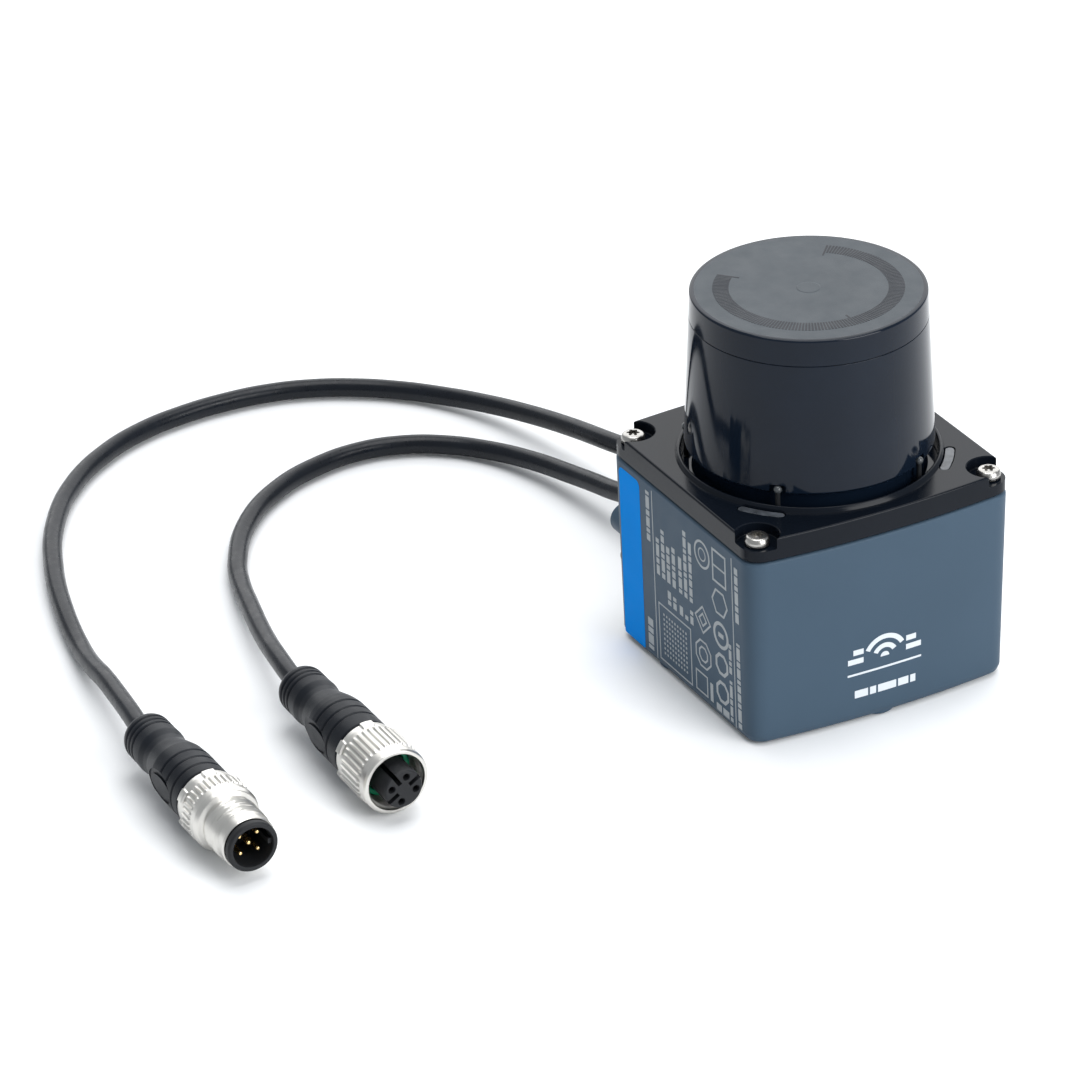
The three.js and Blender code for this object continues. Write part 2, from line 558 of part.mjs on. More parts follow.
// ---- electronics and drive, closed inside the housing -------------------------------------
function boardSolid(z) {
  const shape = new THREE.Shape();
  const h = BOARD_HALF;
  const c = h - 5;
  [[-c, -h], [c, -h], [h, -c], [h, c], [c, h], [-c, h], [-h, c], [-h, -c]].forEach((p, i) => {
    if (i === 0) shape.moveTo(...p);
    else shape.lineTo(...p);
  });
  const holes = corners(STANDOFF_AT, STANDOFF_AT)
    .map(([x, y]) => solidOf(rod(1.4, z - 1, z + BOARD_T + 1, 12).translate(x, y, 0)));
  return cut(solidOf(extrude(shape, z, z + BOARD_T)), ...holes);
}
function makeBoards() {
  const power = join(
    boardSolid(POWER_BOARD_Z),
    solidOf(box(-16, -6, -10, 10, POWER_BOARD_Z + 1, POWER_BOARD_Z + 4.5)),
    solidOf(rod(4, POWER_BOARD_Z + 1, POWER_BOARD_Z + 5.5).translate(8, 8, 0)),
  );
  addMesh('power_board', geometryOf(power), 'board');
  const main = join(
    boardSolid(MAIN_BOARD_Z),
    solidOf(box(-7, 7, -7, 7, MAIN_BOARD_Z + 1, MAIN_BOARD_Z + 3)),
    solidOf(box(10, 16, -6, 2, MAIN_BOARD_Z + 1, MAIN_BOARD_Z + 2.6)),
  );
  addMesh('main_board', geometryOf(main), 'board');
  const foot = POWER_BOARD_Z - GAP;
  const mid = POWER_BOARD_Z + BOARD_T + GAP;
  const upper = MAIN_BOARD_Z + BOARD_T + GAP;
  const profile = [
    [0, FLOOR_TOP + GAP], [2.4, FLOOR_TOP + GAP], [2.4, foot], [1.1, foot], [1.1, mid], [2.4, mid],
    [2.4, MAIN_BOARD_Z - GAP], [1.1, MAIN_BOARD_Z - GAP], [1.1, upper], [2.2, upper],
    [2.2, upper + 1.6], [0, upper + 1.6],
  ];
  corners(STANDOFF_AT, STANDOFF_AT).forEach(([x, y], i) => {
    addMesh(`board_standoff_${i + 1}`, latheZ(profile, 8), 'aluminium').position.set(x, y, 0);
  });
}
function makeMotor() {
  const holes = [POST_AT, -POST_AT].map((x) => solidOf(rod(1.3, PLATE_Z - 1, 26, 12).translate(x, 0, 0)));
  const slots = [-1, 1].map((s) => solidOf(box(-6, 6, s * 19 - 2, s * 19 + 2, PLATE_Z - 1, 26)));
  addMesh('motor_plate', geometryOf(cut(solidOf(rod(PLATE_R, PLATE_Z, PLATE_TOP, 32)), ...holes,
    ...slots)), 'aluminium');
  [POST_AT, -POST_AT].forEach((x, i) => {
    addMesh(`plate_screw_${i + 1}`, latheZ([
      [0, 15], [0.95, 15], [0.95, PLATE_TOP + 0.2], [1.7, PLATE_TOP + 0.2], [1.7, PLATE_TOP + 1.4],
      [0, PLATE_TOP + 1.5],
    ], 14), 'steel').position.set(x, 0, 0);
  });
  addMesh('bearing_tube', latheZ([
    [5.4, PLATE_TOP + GAP], [9.5, PLATE_TOP + GAP], [9.5, 25.6], [6.8, 25.6], [6.8, 33.5], [5.4, 33.5],
  ]), 'aluminium');
  const star = new THREE.Shape();
  const teeth = 9;
  const tooth = [[-0.42, 12.6], [0.42, 12.6], [0.42, 11.4], [0.2, 11.2], [0.25, 8.6], [0.75, 8.6]];
  for (let i = 0; i < teeth; i += 1) {
    tooth.forEach(([t, r], k) => {
      const angle = (i + t) / teeth * Math.PI * 2;
      const point = [r * Math.cos(angle), r * Math.sin(angle)];
      if (i === 0 && k === 0) star.moveTo(...point);
      else star.lineTo(...point);
    });
  }
  const bore = solidOf(rod(7.2, 20, 40));
  addMesh('stator_core', geometryOf(solidOf(extrude(star, 26.5, 31.5)).subtract(bore)), 'copper');
  [24.9, 30.6].forEach((z, i) => {
    addMesh(`bearing_outer_${i + 1}`, ring(4, 5.15, z, z + 2.5, 20), 'steel');
    addMesh(`bearing_inner_${i + 1}`, ring(2.25, 3.3, z, z + 2.5, 16), 'steel');
  });
  addMesh('encoder_head', box(-21.5, -16, -3, 3, PLATE_TOP + GAP, 34), 'matte');
}

// ---- spinning head ------------------------------------------------------------------------
function makeDriveRotor() {
  addMesh('rotor_shaft', latheZ([
    [0, PLATE_TOP + GAP], [1.7, PLATE_TOP + GAP], [SHAFT_R, PLATE_TOP + 0.7], [SHAFT_R, 37.6],
    [0, 37.6],
  ], 20), 'steel');
  addMesh('magnet_cup', latheZ([
    [SHAFT_R + GAP, 34.1], [13.2, 34.1], [13.2, 26], [15.2, 26], [15.2, 35], [14.6, 35.6],
    [SHAFT_R + GAP, 35.6],
  ], 28), 'steel');
  const notches = [];
  for (let i = 0; i < 12; i += 1) {
    notches.push(solidOf(box(19, 21, -0.9, 0.9, 34, 36.5).rotateZ(i / 12 * Math.PI * 2)));
  }
  addMesh('encoder_ring', geometryOf(cut(solidOf(ring(15.6, 20, 34.8, 35.6, 24)), ...notches)), 'glass');
  addMesh('turntable', ring(SHAFT_R + GAP, TURNTABLE_R, TURNTABLE_Z, TURNTABLE_Z + 2, 36), 'aluminium');
}
function makeOptics() {
  const base = OPTICS_BASE;
  const block = solidOf(box(OPTICS_BACK, OPTICS_FRONT, -OPTICS_HALF, OPTICS_HALF, base, OPTICS_TOP));
  const receiver = solidOf(rodX(RECEIVER_R, -6, OPTICS_FRONT + 1, 24).translate(0, 0, RECEIVER_Z));
  const emitter = solidOf(rodX(EMITTER_R, -6, OPTICS_FRONT + 1, 16).translate(0, 0, EMITTER_Z));
  addMesh('optics_block', geometryOf(cut(block, receiver, emitter)), 'matte');
  const lens = (r, edge, bulge) => latheX([
    [0, 0], [r, 0], [r, edge], [r * 0.7, edge + bulge * 0.55], [r * 0.35, edge + bulge * 0.9],
    [0, edge + bulge],
  ], 20);
  addMesh('receive_lens', lens(RECEIVER_R - GAP, 1.6, 2.2), 'glass').position.set(7.5, 0, RECEIVER_Z);
  addMesh('emitter_lens', lens(EMITTER_R - GAP, 1.2, 1), 'glass').position.set(8.6, 0, EMITTER_Z);
  addMesh('rotor_board', box(OPTICS_BACK - 1.9, OPTICS_BACK - GAP, -OPTICS_HALF, OPTICS_HALF,
    base, OPTICS_TOP - 1), 'board');
  addMesh('counterweight', box(-17, OPTICS_BACK - 1.9 - GAP, -9, 9, base, base + 12), 'steel');
}

makeHousing();
makeGasket();
makeLid();
makeStatusWindows();
makeLidScrews();
makeHood();
makeHoodCap();
makeHoodFixing();
makeMonitorLenses();
makeVentPlug();
makeGlands();
makeCord('power_cable', POWER_ROUTE);
makeCord('data_cable', DATA_ROUTE);
makePowerPlug();
makeDataPlug();
makeBoards();
makeMotor();
makeDriveRotor();
makeOptics();

export default group;
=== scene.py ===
"""A compact 2D lidar scanner with two cables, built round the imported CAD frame.

Lengths are millimetres and are turned into metres where a mesh is made. +Z is up, +X is the
front of the scanner, and the origin is under the middle of its base.
"""
import bpy, bmesh, json, math
from mathutils import Matrix, Quaternion, Vector


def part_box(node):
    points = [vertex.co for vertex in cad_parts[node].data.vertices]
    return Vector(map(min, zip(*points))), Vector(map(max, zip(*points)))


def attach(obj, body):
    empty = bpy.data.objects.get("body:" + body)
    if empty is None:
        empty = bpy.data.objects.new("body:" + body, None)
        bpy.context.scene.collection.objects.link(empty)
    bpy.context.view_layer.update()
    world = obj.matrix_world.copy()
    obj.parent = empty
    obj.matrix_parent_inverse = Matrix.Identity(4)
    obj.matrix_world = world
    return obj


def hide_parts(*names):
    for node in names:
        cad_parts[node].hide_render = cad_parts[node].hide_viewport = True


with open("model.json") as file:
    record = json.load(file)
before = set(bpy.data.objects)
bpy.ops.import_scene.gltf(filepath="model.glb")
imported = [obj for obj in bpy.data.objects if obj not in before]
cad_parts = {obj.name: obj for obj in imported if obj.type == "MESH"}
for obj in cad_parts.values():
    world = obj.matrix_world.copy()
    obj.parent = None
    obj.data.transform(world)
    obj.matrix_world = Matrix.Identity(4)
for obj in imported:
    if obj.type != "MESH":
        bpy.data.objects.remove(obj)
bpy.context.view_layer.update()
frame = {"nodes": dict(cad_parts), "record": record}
MM = 0.001


def node_box(node):
    """Lowest and highest corner of a CAD node, in millimetres."""
    low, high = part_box(node)
    return low / MM, high / MM


# ---- driving dimensions, from the frame where it has them -----------------------------------
HALF = 30.0                                   # half the width of the square body
CROWN = 2.0                                   # bow of the front and back faces
CORNER = 4.0
DRAFT = 0.75                                  # the housing is smaller at its foot
GAP = 0.3
HOUSING_TOP = node_box("housing")[1].z
PAD_H = 0.5
FOOT_Z = PAD_H + 0.9
LID_BOTTOM = node_box("lid_frame")[0].z
LID_INSET = 0.12
LID_TOP = 46.4
LID_UNDER = 43.7
OPENING_R = 25.7
POCKET_R = 4.4
POCKET_Z = 44.0
RIM_Z = 44.8
SKIRT_Z = 49.2
SKIRT_R = 25.0
CAP_R = 23.45
TOTAL_H = node_box("hood_cap")[1].z
SEAM_Z = 76.8
NECK_R = 23.2
FLANGE_R = 26.6
FLANGE_Z = 42.1
HOOD_WALL = 1.6
MONITOR_ANGLES = (-127, -45, 30, 105)
SEAM_HALF = 0.04                              # half the open seam between hood and cap
TOP_EDGE_R = 22.55                            # edge of the cap's matte top
MARK_R = 2.4                                  # moulding mark in the middle of the cap
BALL_R = 0.85
CORD_R = 2.1
CORD_HOLE_R = CORD_R + 0.35
CORD_Y = 5.5                                  # the cords leave the back wall on each side
CORD_Z = 15.5
BOSS_Y = 24.0                                 # rear fixing bosses
BOSS_Z = 22.0
BASE_HOLE_Y = 16.0
PADS = ((0, 0, 8), (24.9, 0, 4), (-10, -24.9, 4), (-10, 24.9, 4))    # x, y and radius
GLAND_END = -38.0
PLUG_Z = 7.5
POWER_PLUG = Vector((-33, -135.3, PLUG_Z))
DATA_PLUG = Vector((-34.1, -101.0, PLUG_Z))

# Cord routes, from inside the gland to inside the connector.
POWER_ROUTE = [
    (-26, 5.5, 15.5), (-34, 5.5, 15.5), (-42, 5.4, 15.4), (-60, 3.6, 13.8), (-82, -0.3, 10.6),
    (-98, -2.2, 7.8), (-112, -5, 5.4), (-124, -9, 3.6), (-134, -14.4, 2.5), (-142, -21.2, 2.2),
    (-148.2, -29, 2.2), (-153, -37.7, 2.2), (-155.9, -47, 2.2), (-156.9, -57, 2.2),
    (-156.4, -67, 2.2), (-154, -78, 2.2), (-148.6, -89.4, 2.2), (-139.3, -101, 2.2),
    (-125, -111.7, 2.2), (-107.6, -119.8, 2.2), (-90, -125.3, 2.2), (-73, -129, 2.4),
    (-64, -130.6, 3.7), (-55.7, -131.6, 5.2), (-46.1, -132.9, 6.3), (-38.9, -133.9, 7),
    (-28.5, -135.2, 7.5), (-20, -135.3, 7.5),
]
DATA_ROUTE = [
    (-26, -5.5, 15.5), (-34, -5.5, 15.5), (-41, -5.6, 15.1), (-52, -6.5, 12.2), (-67, -8, 8),
    (-75.5, -8.8, 6.4), (-83, -9.8, 5.1), (-96, -12.8, 3.4), (-106.4, -17.6, 2.4),
    (-114, -24.4, 2.2), (-118.9, -32.6, 2.2), (-120.9, -42.1, 2.2), (-119.5, -52.8, 2.2),
    (-114.7, -64.2, 2.2), (-105, -75.9, 2.2), (-89.6, -85.9, 2.2), (-80, -89.6, 2.6),
    (-70.7, -92.3, 3.6), (-53.8, -96.8, 5.4), (-41.8, -99.3, 6.9), (-29.5, -100.9, 7.5),
    (-20, -101, 7.5),
]


# ---- camera ---------------------------------------------------------------------------------
def make_camera():
    data = bpy.data.cameras.new("camera")
    data.sensor_width = 36
    data.lens = 192.87
    data.clip_end = 20
    camera = bpy.data.objects.new("camera", data)
    bpy.context.collection.objects.link(camera)
    camera.location = Vector((877.8, -515.1, 587.85)) * MM
    look = Vector((-0.77783, 0.40239, -0.48277))
    roll = math.radians(1.803)
    camera.rotation_mode = "QUATERNION"
    camera.rotation_quaternion = look.to_track_quat("-Z", "Y") @ Quaternion((0, 0, 1), -roll)
    bpy.context.scene.camera = camera


make_camera()


# ---- materials ------------------------------------------------------------------------------
def node(tree, kind, **values):
    """A shader node with some of its settings or input values."""
    made = tree.nodes.new(kind)
    for key, value in values.items():
        if hasattr(made, key):
            setattr(made, key, value)
        else:
            made.inputs[key.replace("_", " ")].default_value = value
    return made


def spread(tree, source, low, high):
    """Maps a 0 to 1 pattern to a range."""
    ramp = node(tree, "ShaderNodeMapRange")
    ramp.inputs["From Min"].default_value = 0.3
    ramp.inputs["From Max"].default_value = 0.7
    ramp.inputs["To Min"].default_value = low
    ramp.inputs["To Max"].default_value = high
    tree.links.new(source, ramp.inputs["Value"])
    return ramp.outputs["Result"]


def procedural(name, colour, roughness, metallic=0.0, tint=0.06, tint_scale=90, smear=0.05,
               smear_scale=260, grain=0.0, grain_scale=3000, **shader_values):
    """A material with a clouded colour, uneven gloss and a fine surface grain."""
    material = bpy.data.materials.new(name)
    material.use_nodes = True
    tree = material.node_tree
    shader = tree.nodes["Principled BSDF"]
    shader.inputs["Metallic"].default_value = metallic
    for key, value in shader_values.items():
        shader.inputs[key.replace("_", " ")].default_value = value
    place = node(tree, "ShaderNodeTexCoord").outputs["Object"]
    cloud = node(tree, "ShaderNodeTexNoise", Scale=tint_scale, Detail=5.0)
    tree.links.new(place, cloud.inputs["Vector"])
    mix = node(tree, "ShaderNodeMix", data_type="RGBA")
    for socket, value in zip([s for s in mix.inputs if s.type == "RGBA"], (1 - tint, 1 + tint)):
        socket.default_value = (*[min(c * value, 1) for c in colour], 1)
    tree.links.new(spread(tree, cloud.outputs["Fac"], 0, 1), mix.inputs[0])
    tree.links.new([s for s in mix.outputs if s.type == "RGBA"][0], shader.inputs["Base Color"])
    wipe = node(tree, "ShaderNodeTexNoise", Scale=smear_scale, Detail=4.0)
    tree.links.new(place, wipe.inputs["Vector"])
    low, high = max(roughness - smear, 0.02), roughness + smear
    tree.links.new(spread(tree, wipe.outputs["Fac"], low, high), shader.inputs["Roughness"])
    if grain:
        fine = node(tree, "ShaderNodeTexNoise", Scale=grain_scale, Detail=3.0)
        tree.links.new(place, fine.inputs["Vector"])
        bump = node(tree, "ShaderNodeBump", Strength=grain, Distance=0.00005)
        tree.links.new(fine.outputs["Fac"], bump.inputs["Height"])
        tree.links.new(bump.outputs["Normal"], shader.inputs["Normal"])
    return material


def satin_metal(name, colour, roughness):
    """Metal with a faint satin texture, about half a millimetre from grain to grain."""
    return procedural(name, colour, roughness, metallic=1.0, tint=0.05, smear=0.05, grain=0.06,
                      grain_scale=1 / (0.5 * MM))


PAINT = procedural("housing_paint", (0.050, 0.081, 0.117), 0.42, tint=0.04, tint_scale=40,
                   smear=0.04, grain=0.35, grain_scale=5200, Specular_IOR_Level=0.1)
GLOSS = procedural("gloss_black", (0.004, 0.008, 0.016), 0.07, tint=0.1, smear=0.02,
                   smear_scale=120, grain=0.02, grain_scale=900, Specular_IOR_Level=0.2)
LID_BLACK = procedural("lid_black", (0.004, 0.006, 0.010), 0.16, tint=0.1, smear=0.04,
                       smear_scale=150, grain=0.10, grain_scale=4200, Specular_IOR_Level=0.13)
# The matte top is black; its grey base colour is partly its own dark tone and partly painted sheen of
# the light from above.
TOP_GREY_PAINTED_SHEEN = procedural("hood_top_matte_painted_sheen", (0.040, 0.050, 0.060), 0.50, tint=0.05, tint_scale=60,
                      smear=0.05, grain=0.4, grain_scale=6000, Specular_IOR_Level=0.3)
TICK_BLACK = procedural("printed_black", (0.014, 0.016, 0.022), 0.50, tint=0.1,
                        Specular_IOR_Level=0.25)
MATTE = procedural("matte_black", (0.010, 0.011, 0.013), 0.55, tint=0.12, grain=0.4,
                   Specular_IOR_Level=0.3)
SATIN_BLACK = procedural("cable_black", (0.004, 0.006, 0.010), 0.30, tint=0.15, tint_scale=200,
                         smear=0.06, smear_scale=500, grain=0.3, grain_scale=2600,
                         Specular_IOR_Level=0.25)
OVERMOULD = procedural("overmould_black", (0.004, 0.006, 0.010), 0.42, tint=0.15, smear=0.06,
                       grain=0.5, grain_scale=3600, Specular_IOR_Level=0.22)
STEEL = satin_metal("stainless_steel", (0.42, 0.41, 0.39), 0.28)
NICKEL = satin_metal("nickel_plate", (0.66, 0.645, 0.61), 0.33)
GOLD = satin_metal("gold_plate", (0.95, 0.70, 0.33), 0.25)
GUIDE = procedural("frosted_light_guide", (0.08, 0.09, 0.105), 0.3, tint=0.5, tint_scale=500,
                   grain=0.5, grain_scale=1500, Transmission_Weight=0.25)
LENS = procedural("ball_lens", (0.05, 0.055, 0.06), 0.06, tint=0.1, smear=0.02)
GREEN = procedural("green_seal", (0.008, 0.42, 0.20), 0.45, tint=0.1, grain=0.3)
BOARD = procedural("circuit_board", (0.02, 0.13, 0.06), 0.45, tint=0.35, tint_scale=700)
ALUMINIUM = satin_metal("machined_aluminium", (0.62, 0.63, 0.65), 0.33)
COPPER = satin_metal("enamelled_copper", (0.60, 0.33, 0.18), 0.38)
GLASS = procedural("coated_glass", (0.45, 0.52, 0.66), 0.05, tint=0.05, smear=0.01,
                   Transmission_Weight=0.8)
BLUE = procedural("blue_print", (0.0, 0.23, 0.72), 0.5, tint=0.03, smear=0.04, grain=0.2,
                  grain_scale=5200, Specular_IOR_Level=0.02)
WHITE = procedural("white_print", (0.62, 0.66, 0.70), 0.45, tint=0.03, grain=0.2,
                   Specular_IOR_Level=0.25)
# The side label's print is the same white print as the front mark, made a darker grey here as painted
# shade for the dimmer label side.
LABEL_PRINT_PAINTED_SHADE = procedural("label_print_painted_shade", (0.36, 0.385, 0.40), 0.5, tint=0.03, grain=0.2,
                        Specular_IOR_Level=0.1)

SLOT_MATERIALS = {
    "housing_paint": PAINT, "gloss_black": GLOSS, "matte_black": MATTE, "black_rubber": OVERMOULD,
    "steel": STEEL, "nickel": NICKEL, "gold": GOLD, "light_guide": GUIDE, "green_rubber": GREEN,
    "circuit_board": BOARD, "aluminium": ALUMINIUM, "copper": COPPER, "optical_glass": GLASS,
}


# ---- mesh helpers ---------------------------------------------------------------------------
def solid(name, mesh):
    """An object from a bmesh built in millimetres."""
    bmesh.ops.recalc_face_normals(mesh, faces=mesh.faces)
    bmesh.ops.scale(mesh, vec=(MM, MM, MM), verts=mesh.verts)
    data = bpy.data.meshes.new(name)
    mesh.to_mesh(data)
    mesh.free()
    piece = bpy.data.objects.new(name, data)
    bpy.context.collection.objects.link(piece)
    return piece


def rounded(corners, closed=False, steps=5):
    """An outline from corners given as (x, y) or (x, y, fillet radius)."""
    points = []
    count = len(corners)
    for i, corner in enumerate(corners):
        here = Vector(corner[:2])
        end = not closed and i in (0, count - 1)
        if len(corner) < 3 or not corner[2] or end:
            points.append(here)
            continue
        before = Vector(corners[i - 1][:2]) - here
        after = Vector(corners[(i + 1) % count][:2]) - here
        half = before.angle(after) / 2
        if half > math.pi / 2 - 0.02:
            points.append(here)
            continue
        reach = min(corner[2] / math.tan(half), 0.48 * before.length, 0.48 * after.length)
        radius = reach * math.tan(half)
        middle = (before.normalized() + after.normalized()).normalized()
        centre = here + middle * radius / math.sin(half)
        first = here + before.normalized() * reach - centre
        last = here + after.normalized() * reach - centre
        turn_by = first.angle_signed(last) * -1
        for k in range(steps + 1):
            points.append(centre + Matrix.Rotation(turn_by * k / steps, 2) @ first)
    return [(p.x, p.y) for p in points]


def dense(profile, step):
    """The same outline with no stretch longer than step."""
    points = []
    for a, b in zip(profile, profile[1:]):
        parts = max(1, math.ceil(math.dist(a, b) / step))
        points += [(a[0] + (b[0] - a[0]) * k / parts, a[1] + (b[1] - a[1]) * k / parts)
                   for k in range(parts)]
    return points + [profile[-1]]


def turn(name, profile, segments=96, along="Z", at=(0, 0, 0), relief=None):
    """Turns (radius, height) pairs about an axis; relief(radius, height, angle) shapes it."""
    mesh = bmesh.new()
    at = Vector(at)
    rings = []
    for radius, height in profile:
        ring = []
        for i in range(segments if radius > 1e-6 else 1):
            angle = 2 * math.pi * i / segments
            r = relief(radius, height, angle) if relief else radius
            across = (r * math.cos(angle), r * math.sin(angle))
            spot = (height, *across) if along == "X" else (*across, height)
            ring.append(mesh.verts.new(at + Vector(spot)))
        rings.append(ring)
    pairs = list(zip(rings, rings[1:]))
    if len(rings[0]) > 1:
        pairs.append((rings[-1], rings[0]))
    for a, b in pairs:
        for i in range(segments):
            j = (i + 1) % segments
            corners = [a[i % len(a)], a[j % len(a)], b[j % len(b)], b[i % len(b)]]
            corners = list(dict.fromkeys(corners))
            if len(corners) > 2:
                mesh.faces.new(corners)
    return solid(name, mesh)


def loft(name, levels):
    """A closed skin through outlines of equal length, given as (height, outline)."""
    mesh = bmesh.new()
    rings = [[mesh.verts.new((x, y, z)) for x, y in outline] for z, outline in levels]
    for a, b in zip(rings, rings[1:]):
        for i in range(len(a)):
            j = (i + 1) % len(a)
            mesh.faces.new((a[i], a[j], b[j], b[i]))
    mesh.faces.new(rings[0])
    mesh.faces.new(rings[-1])
    return solid(name, mesh)


def prism(name, outline, low, high, turned=None):
    """An outline drawn up from low to high, then turned by a matrix."""
    piece = loft(name, [(low, outline), (high, outline)])
    if turned:
        piece.data.transform(turned)
    return piece


def slab(name, x0, x1, y0, y1, z0, z1):
    """A box between two corners."""
    return prism(name, [(x0, y0), (x1, y0), (x1, y1), (x0, y1)], z0, z1)


def oval(x, y, reach, height, count=48):
    """Outline of an ellipse about a point."""
    return [(x + reach * math.cos(2 * math.pi * i / count),
             y + height * math.sin(2 * math.pi * i / count)) for i in range(count)]


def circle(x, y, radius, count=48):
    return oval(x, y, radius, radius, count)


def settle(piece):
    """Applies a piece's modifiers to its mesh."""
    depsgraph = bpy.context.evaluated_depsgraph_get()
    mesh = bpy.data.meshes.new_from_object(piece.evaluated_get(depsgraph))
    piece.modifiers.clear()
    old = piece.data
    piece.data = mesh
    bpy.data.meshes.remove(old)


def combine(piece, operation, tools):
    """Cuts tools out of a piece (DIFFERENCE) or joins them to it (UNION)."""
    for tool in tools:
        modifier = piece.modifiers.new("combine", "BOOLEAN")
        modifier.operation = operation
        modifier.solver = "EXACT"
        modifier.object = tool
    settle(piece)
    for tool in tools:
        bpy.data.objects.remove(tool)
    return piece


def dress(piece, body, material, slot, *replaced, sharp=32):
    """Shading, material and body of a finished piece, and the CAD nodes it stands for. The slot
    argument is not used.
    """
    piece.data.shade_smooth()
    piece.data.set_sharp_from_angle(angle=math.radians(sharp))
    weigh = piece.modifiers.new("normals", "WEIGHTED_NORMAL")
    weigh.keep_sharp = True
    weigh.weight = 80
    settle(piece)
    piece.data.materials.clear()
    piece.data.materials.append(material)
    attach(piece, body)
    if replaced:
        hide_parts(*replaced)
    return piece


# ---- body outline ---------------------------------------------------------------------------
def bow(a, b, c, steps):
    """Points of a quadratic curve, without its last."""
    return [tuple((1 - t) ** 2 * p + 2 * t * (1 - t) * q + t * t * r for p, q, r in zip(a, b, c))
            for t in (k / steps for k in range(steps))]


def body_outline(inset):
    """Rounded square, crowned at front and back, this far inside the housing's widest outline."""
    half = HALF - inset
    radius = max(CORNER - inset / 2, 1)
    run = half - radius
    sag = CROWN * (run / HALF) ** 2
    edge = half - sag
    bend = edge - 2 * sag / run * radius
    side = bow((bend - radius, -half), (bend, -half), (edge, -run), 12)
    side += bow((edge, -run), (half + sag, 0), (edge, run), 20)
    side += bow((edge, run), (bend, half), (bend - radius, half), 12)
    side.append((bend - radius, half))
    return side + [(-x, -y) for x, y in side]


def wall_inset(z):
    """How far the drafted housing wall lies inside its widest outline at a height."""
    return DRAFT * (HOUSING_TOP - z) / (HOUSING_TOP - FOOT_Z)


def end_wall(y, z):
    """Distance of the crowned front or back wall from the middle."""
    return HALF - wall_inset(z) - CROWN * (y / HALF) ** 2


def body_levels(corners):
    """Loft levels from (inset, height, fillet) corners."""
    return [(z, body_outline(inset)) for inset, z in rounded(corners)]


# ---- cords ----------------------------------------------------------------------------------
def make_cord(name, route):
    """A round cord along its route, standing for the CAD cable of the same name."""
    curve = bpy.data.curves.new(name, "CURVE")
    curve.dimensions = "3D"
    curve.bevel_depth = CORD_R * MM
    curve.bevel_resolution = 8
    curve.resolution_u = 10
    curve.use_fill_caps = True
    spline = curve.splines.new("BEZIER")
    spline.bezier_points.add(len(route) - 1)
    for point, spot in zip(spline.bezier_points, route):
        point.co = Vector(spot) * MM
        point.handle_left_type = point.handle_right_type = "AUTO"
    cord = bpy.data.objects.new(name, curve)
    bpy.context.collection.objects.link(cord)
    curve.materials.append(SATIN_BLACK)
    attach(cord, "base")
    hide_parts(name.replace("_jacket", ""))
    return cord


POWER_CORD = make_cord("power_cable_jacket", POWER_ROUTE)
DATA_CORD = make_cord("data_cable_jacket", DATA_ROUTE)


def make_gland(name, y):
    """A ribbed strain relief on the back wall."""
    face = -end_wall(y, CORD_Z) - GAP
    ribs = []
    for i in range(3):
        x = GLAND_END + 3.6 + i * 1.3
        ribs += [(4.05, x, 0.15), (3.7, x + 0.25, 0.15), (3.7, x + 0.5, 0.15), (4.05, x + 0.75, 0.15)]
    profile = rounded([
        (CORD_HOLE_R, GLAND_END), (3.0, GLAND_END, 0.25), (3.7, GLAND_END + 0.8, 0.5),
        (3.9, GLAND_END + 3.2, 0.3), *ribs, (4.6, face - 1.0, 0.4), (4.7, face, 0.2), (2.9, face),
        (2.9, -26.5), (CORD_HOLE_R, -26.5),
    ])
    return dress(turn(name + "_boot", profile, 64, "X", (0, y, CORD_Z)), "base", OVERMOULD,
                 "black_rubber", name)


# ---- connectors -----------------------------------------------------------------------------
def grooves(start, pitch, radius, depth=0.3):
    """Profile of three grooves round a grip."""
    ring = []
    for i in range(3):
        x = start + i * pitch
        ring += [(radius, x, 0.2), (radius - depth, x + 0.2, 0.15),
                 (radius - depth, x + 0.45, 0.15), (radius, x + 0.65, 0.2)]
    return ring


def make_overmould(name, at, front, shoulder, neck_end, front_r):
    """A waisted grip, ringed with grooves, with an oval panel on each side."""
    body = turn(name + "_grip", rounded([
        (CORD_HOLE_R, 5), (3.5, 5, 0.3), (4.7, 5.4, 0.6), (5.05, 6.3, 0.8),
        *grooves(7, 1.4, 5.12), (5.2, 13, 3), (4.9, 14.8, 3), (4.9, 16.4, 3), (5.5, 18.8, 3),
        (6.05, 21, 3), (front_r - 0.1, front, 1), *grooves(front + 1.4, 2.9, front_r),
        (front_r, shoulder, 0.5), (4.6, shoulder, 0.1), (4.6, neck_end), (CORD_HOLE_R, neck_end),
    ], steps=4), 80, "X")
    middle, depth = front + 1.6, front_r - 0.85
    facing = [Matrix.Rotation(side * math.pi / 2, 4, "X") for side in (-1, 1)]
    combine(body, "DIFFERENCE",
            [prism("recess", oval(middle, 0, 5.4, 2.9), depth, depth + 4, turned) for turned in facing])
    combine(body, "UNION", [prism("panel", oval(middle, 0, 4.3, 1.9), depth - 1, depth + 0.35, turned)
                            for turned in facing])
    body.data.transform(Matrix.Translation(at * MM))
    return dress(body, "base", OVERMOULD, "black_rubber", name)


def pulse(angle, count, fill, soft):
    """1 on each of count raised stretches round a circle, falling softly to 0 between them."""
    turn_part = (angle / (2 * math.pi) * count) % 1
    away = abs(turn_part - 0.5) * 2
    t = min(max((fill + soft - away) / (2 * soft), 0), 1)
    return t * t * (3 - 2 * t)


def between(x, low, high, soft):
    """1 between two stations, with soft ends."""
    t = min(max(min(x - low, high - x) / soft, 0), 1)
    return t * t * (3 - 2 * t)


def thread(x, angle):
    """Triangle wave of a screw thread of 1 mm pitch, 0 at the root and 1 at the crest."""
    t = (x - angle / (2 * math.pi)) % 1
    return 1 - abs(2 * t - 1)


RIBS = 36
LUGS = 6
POWER_RIB_R = 7.1
DATA_RIB_R = 7.2
DATA_LUG_R = 7.15


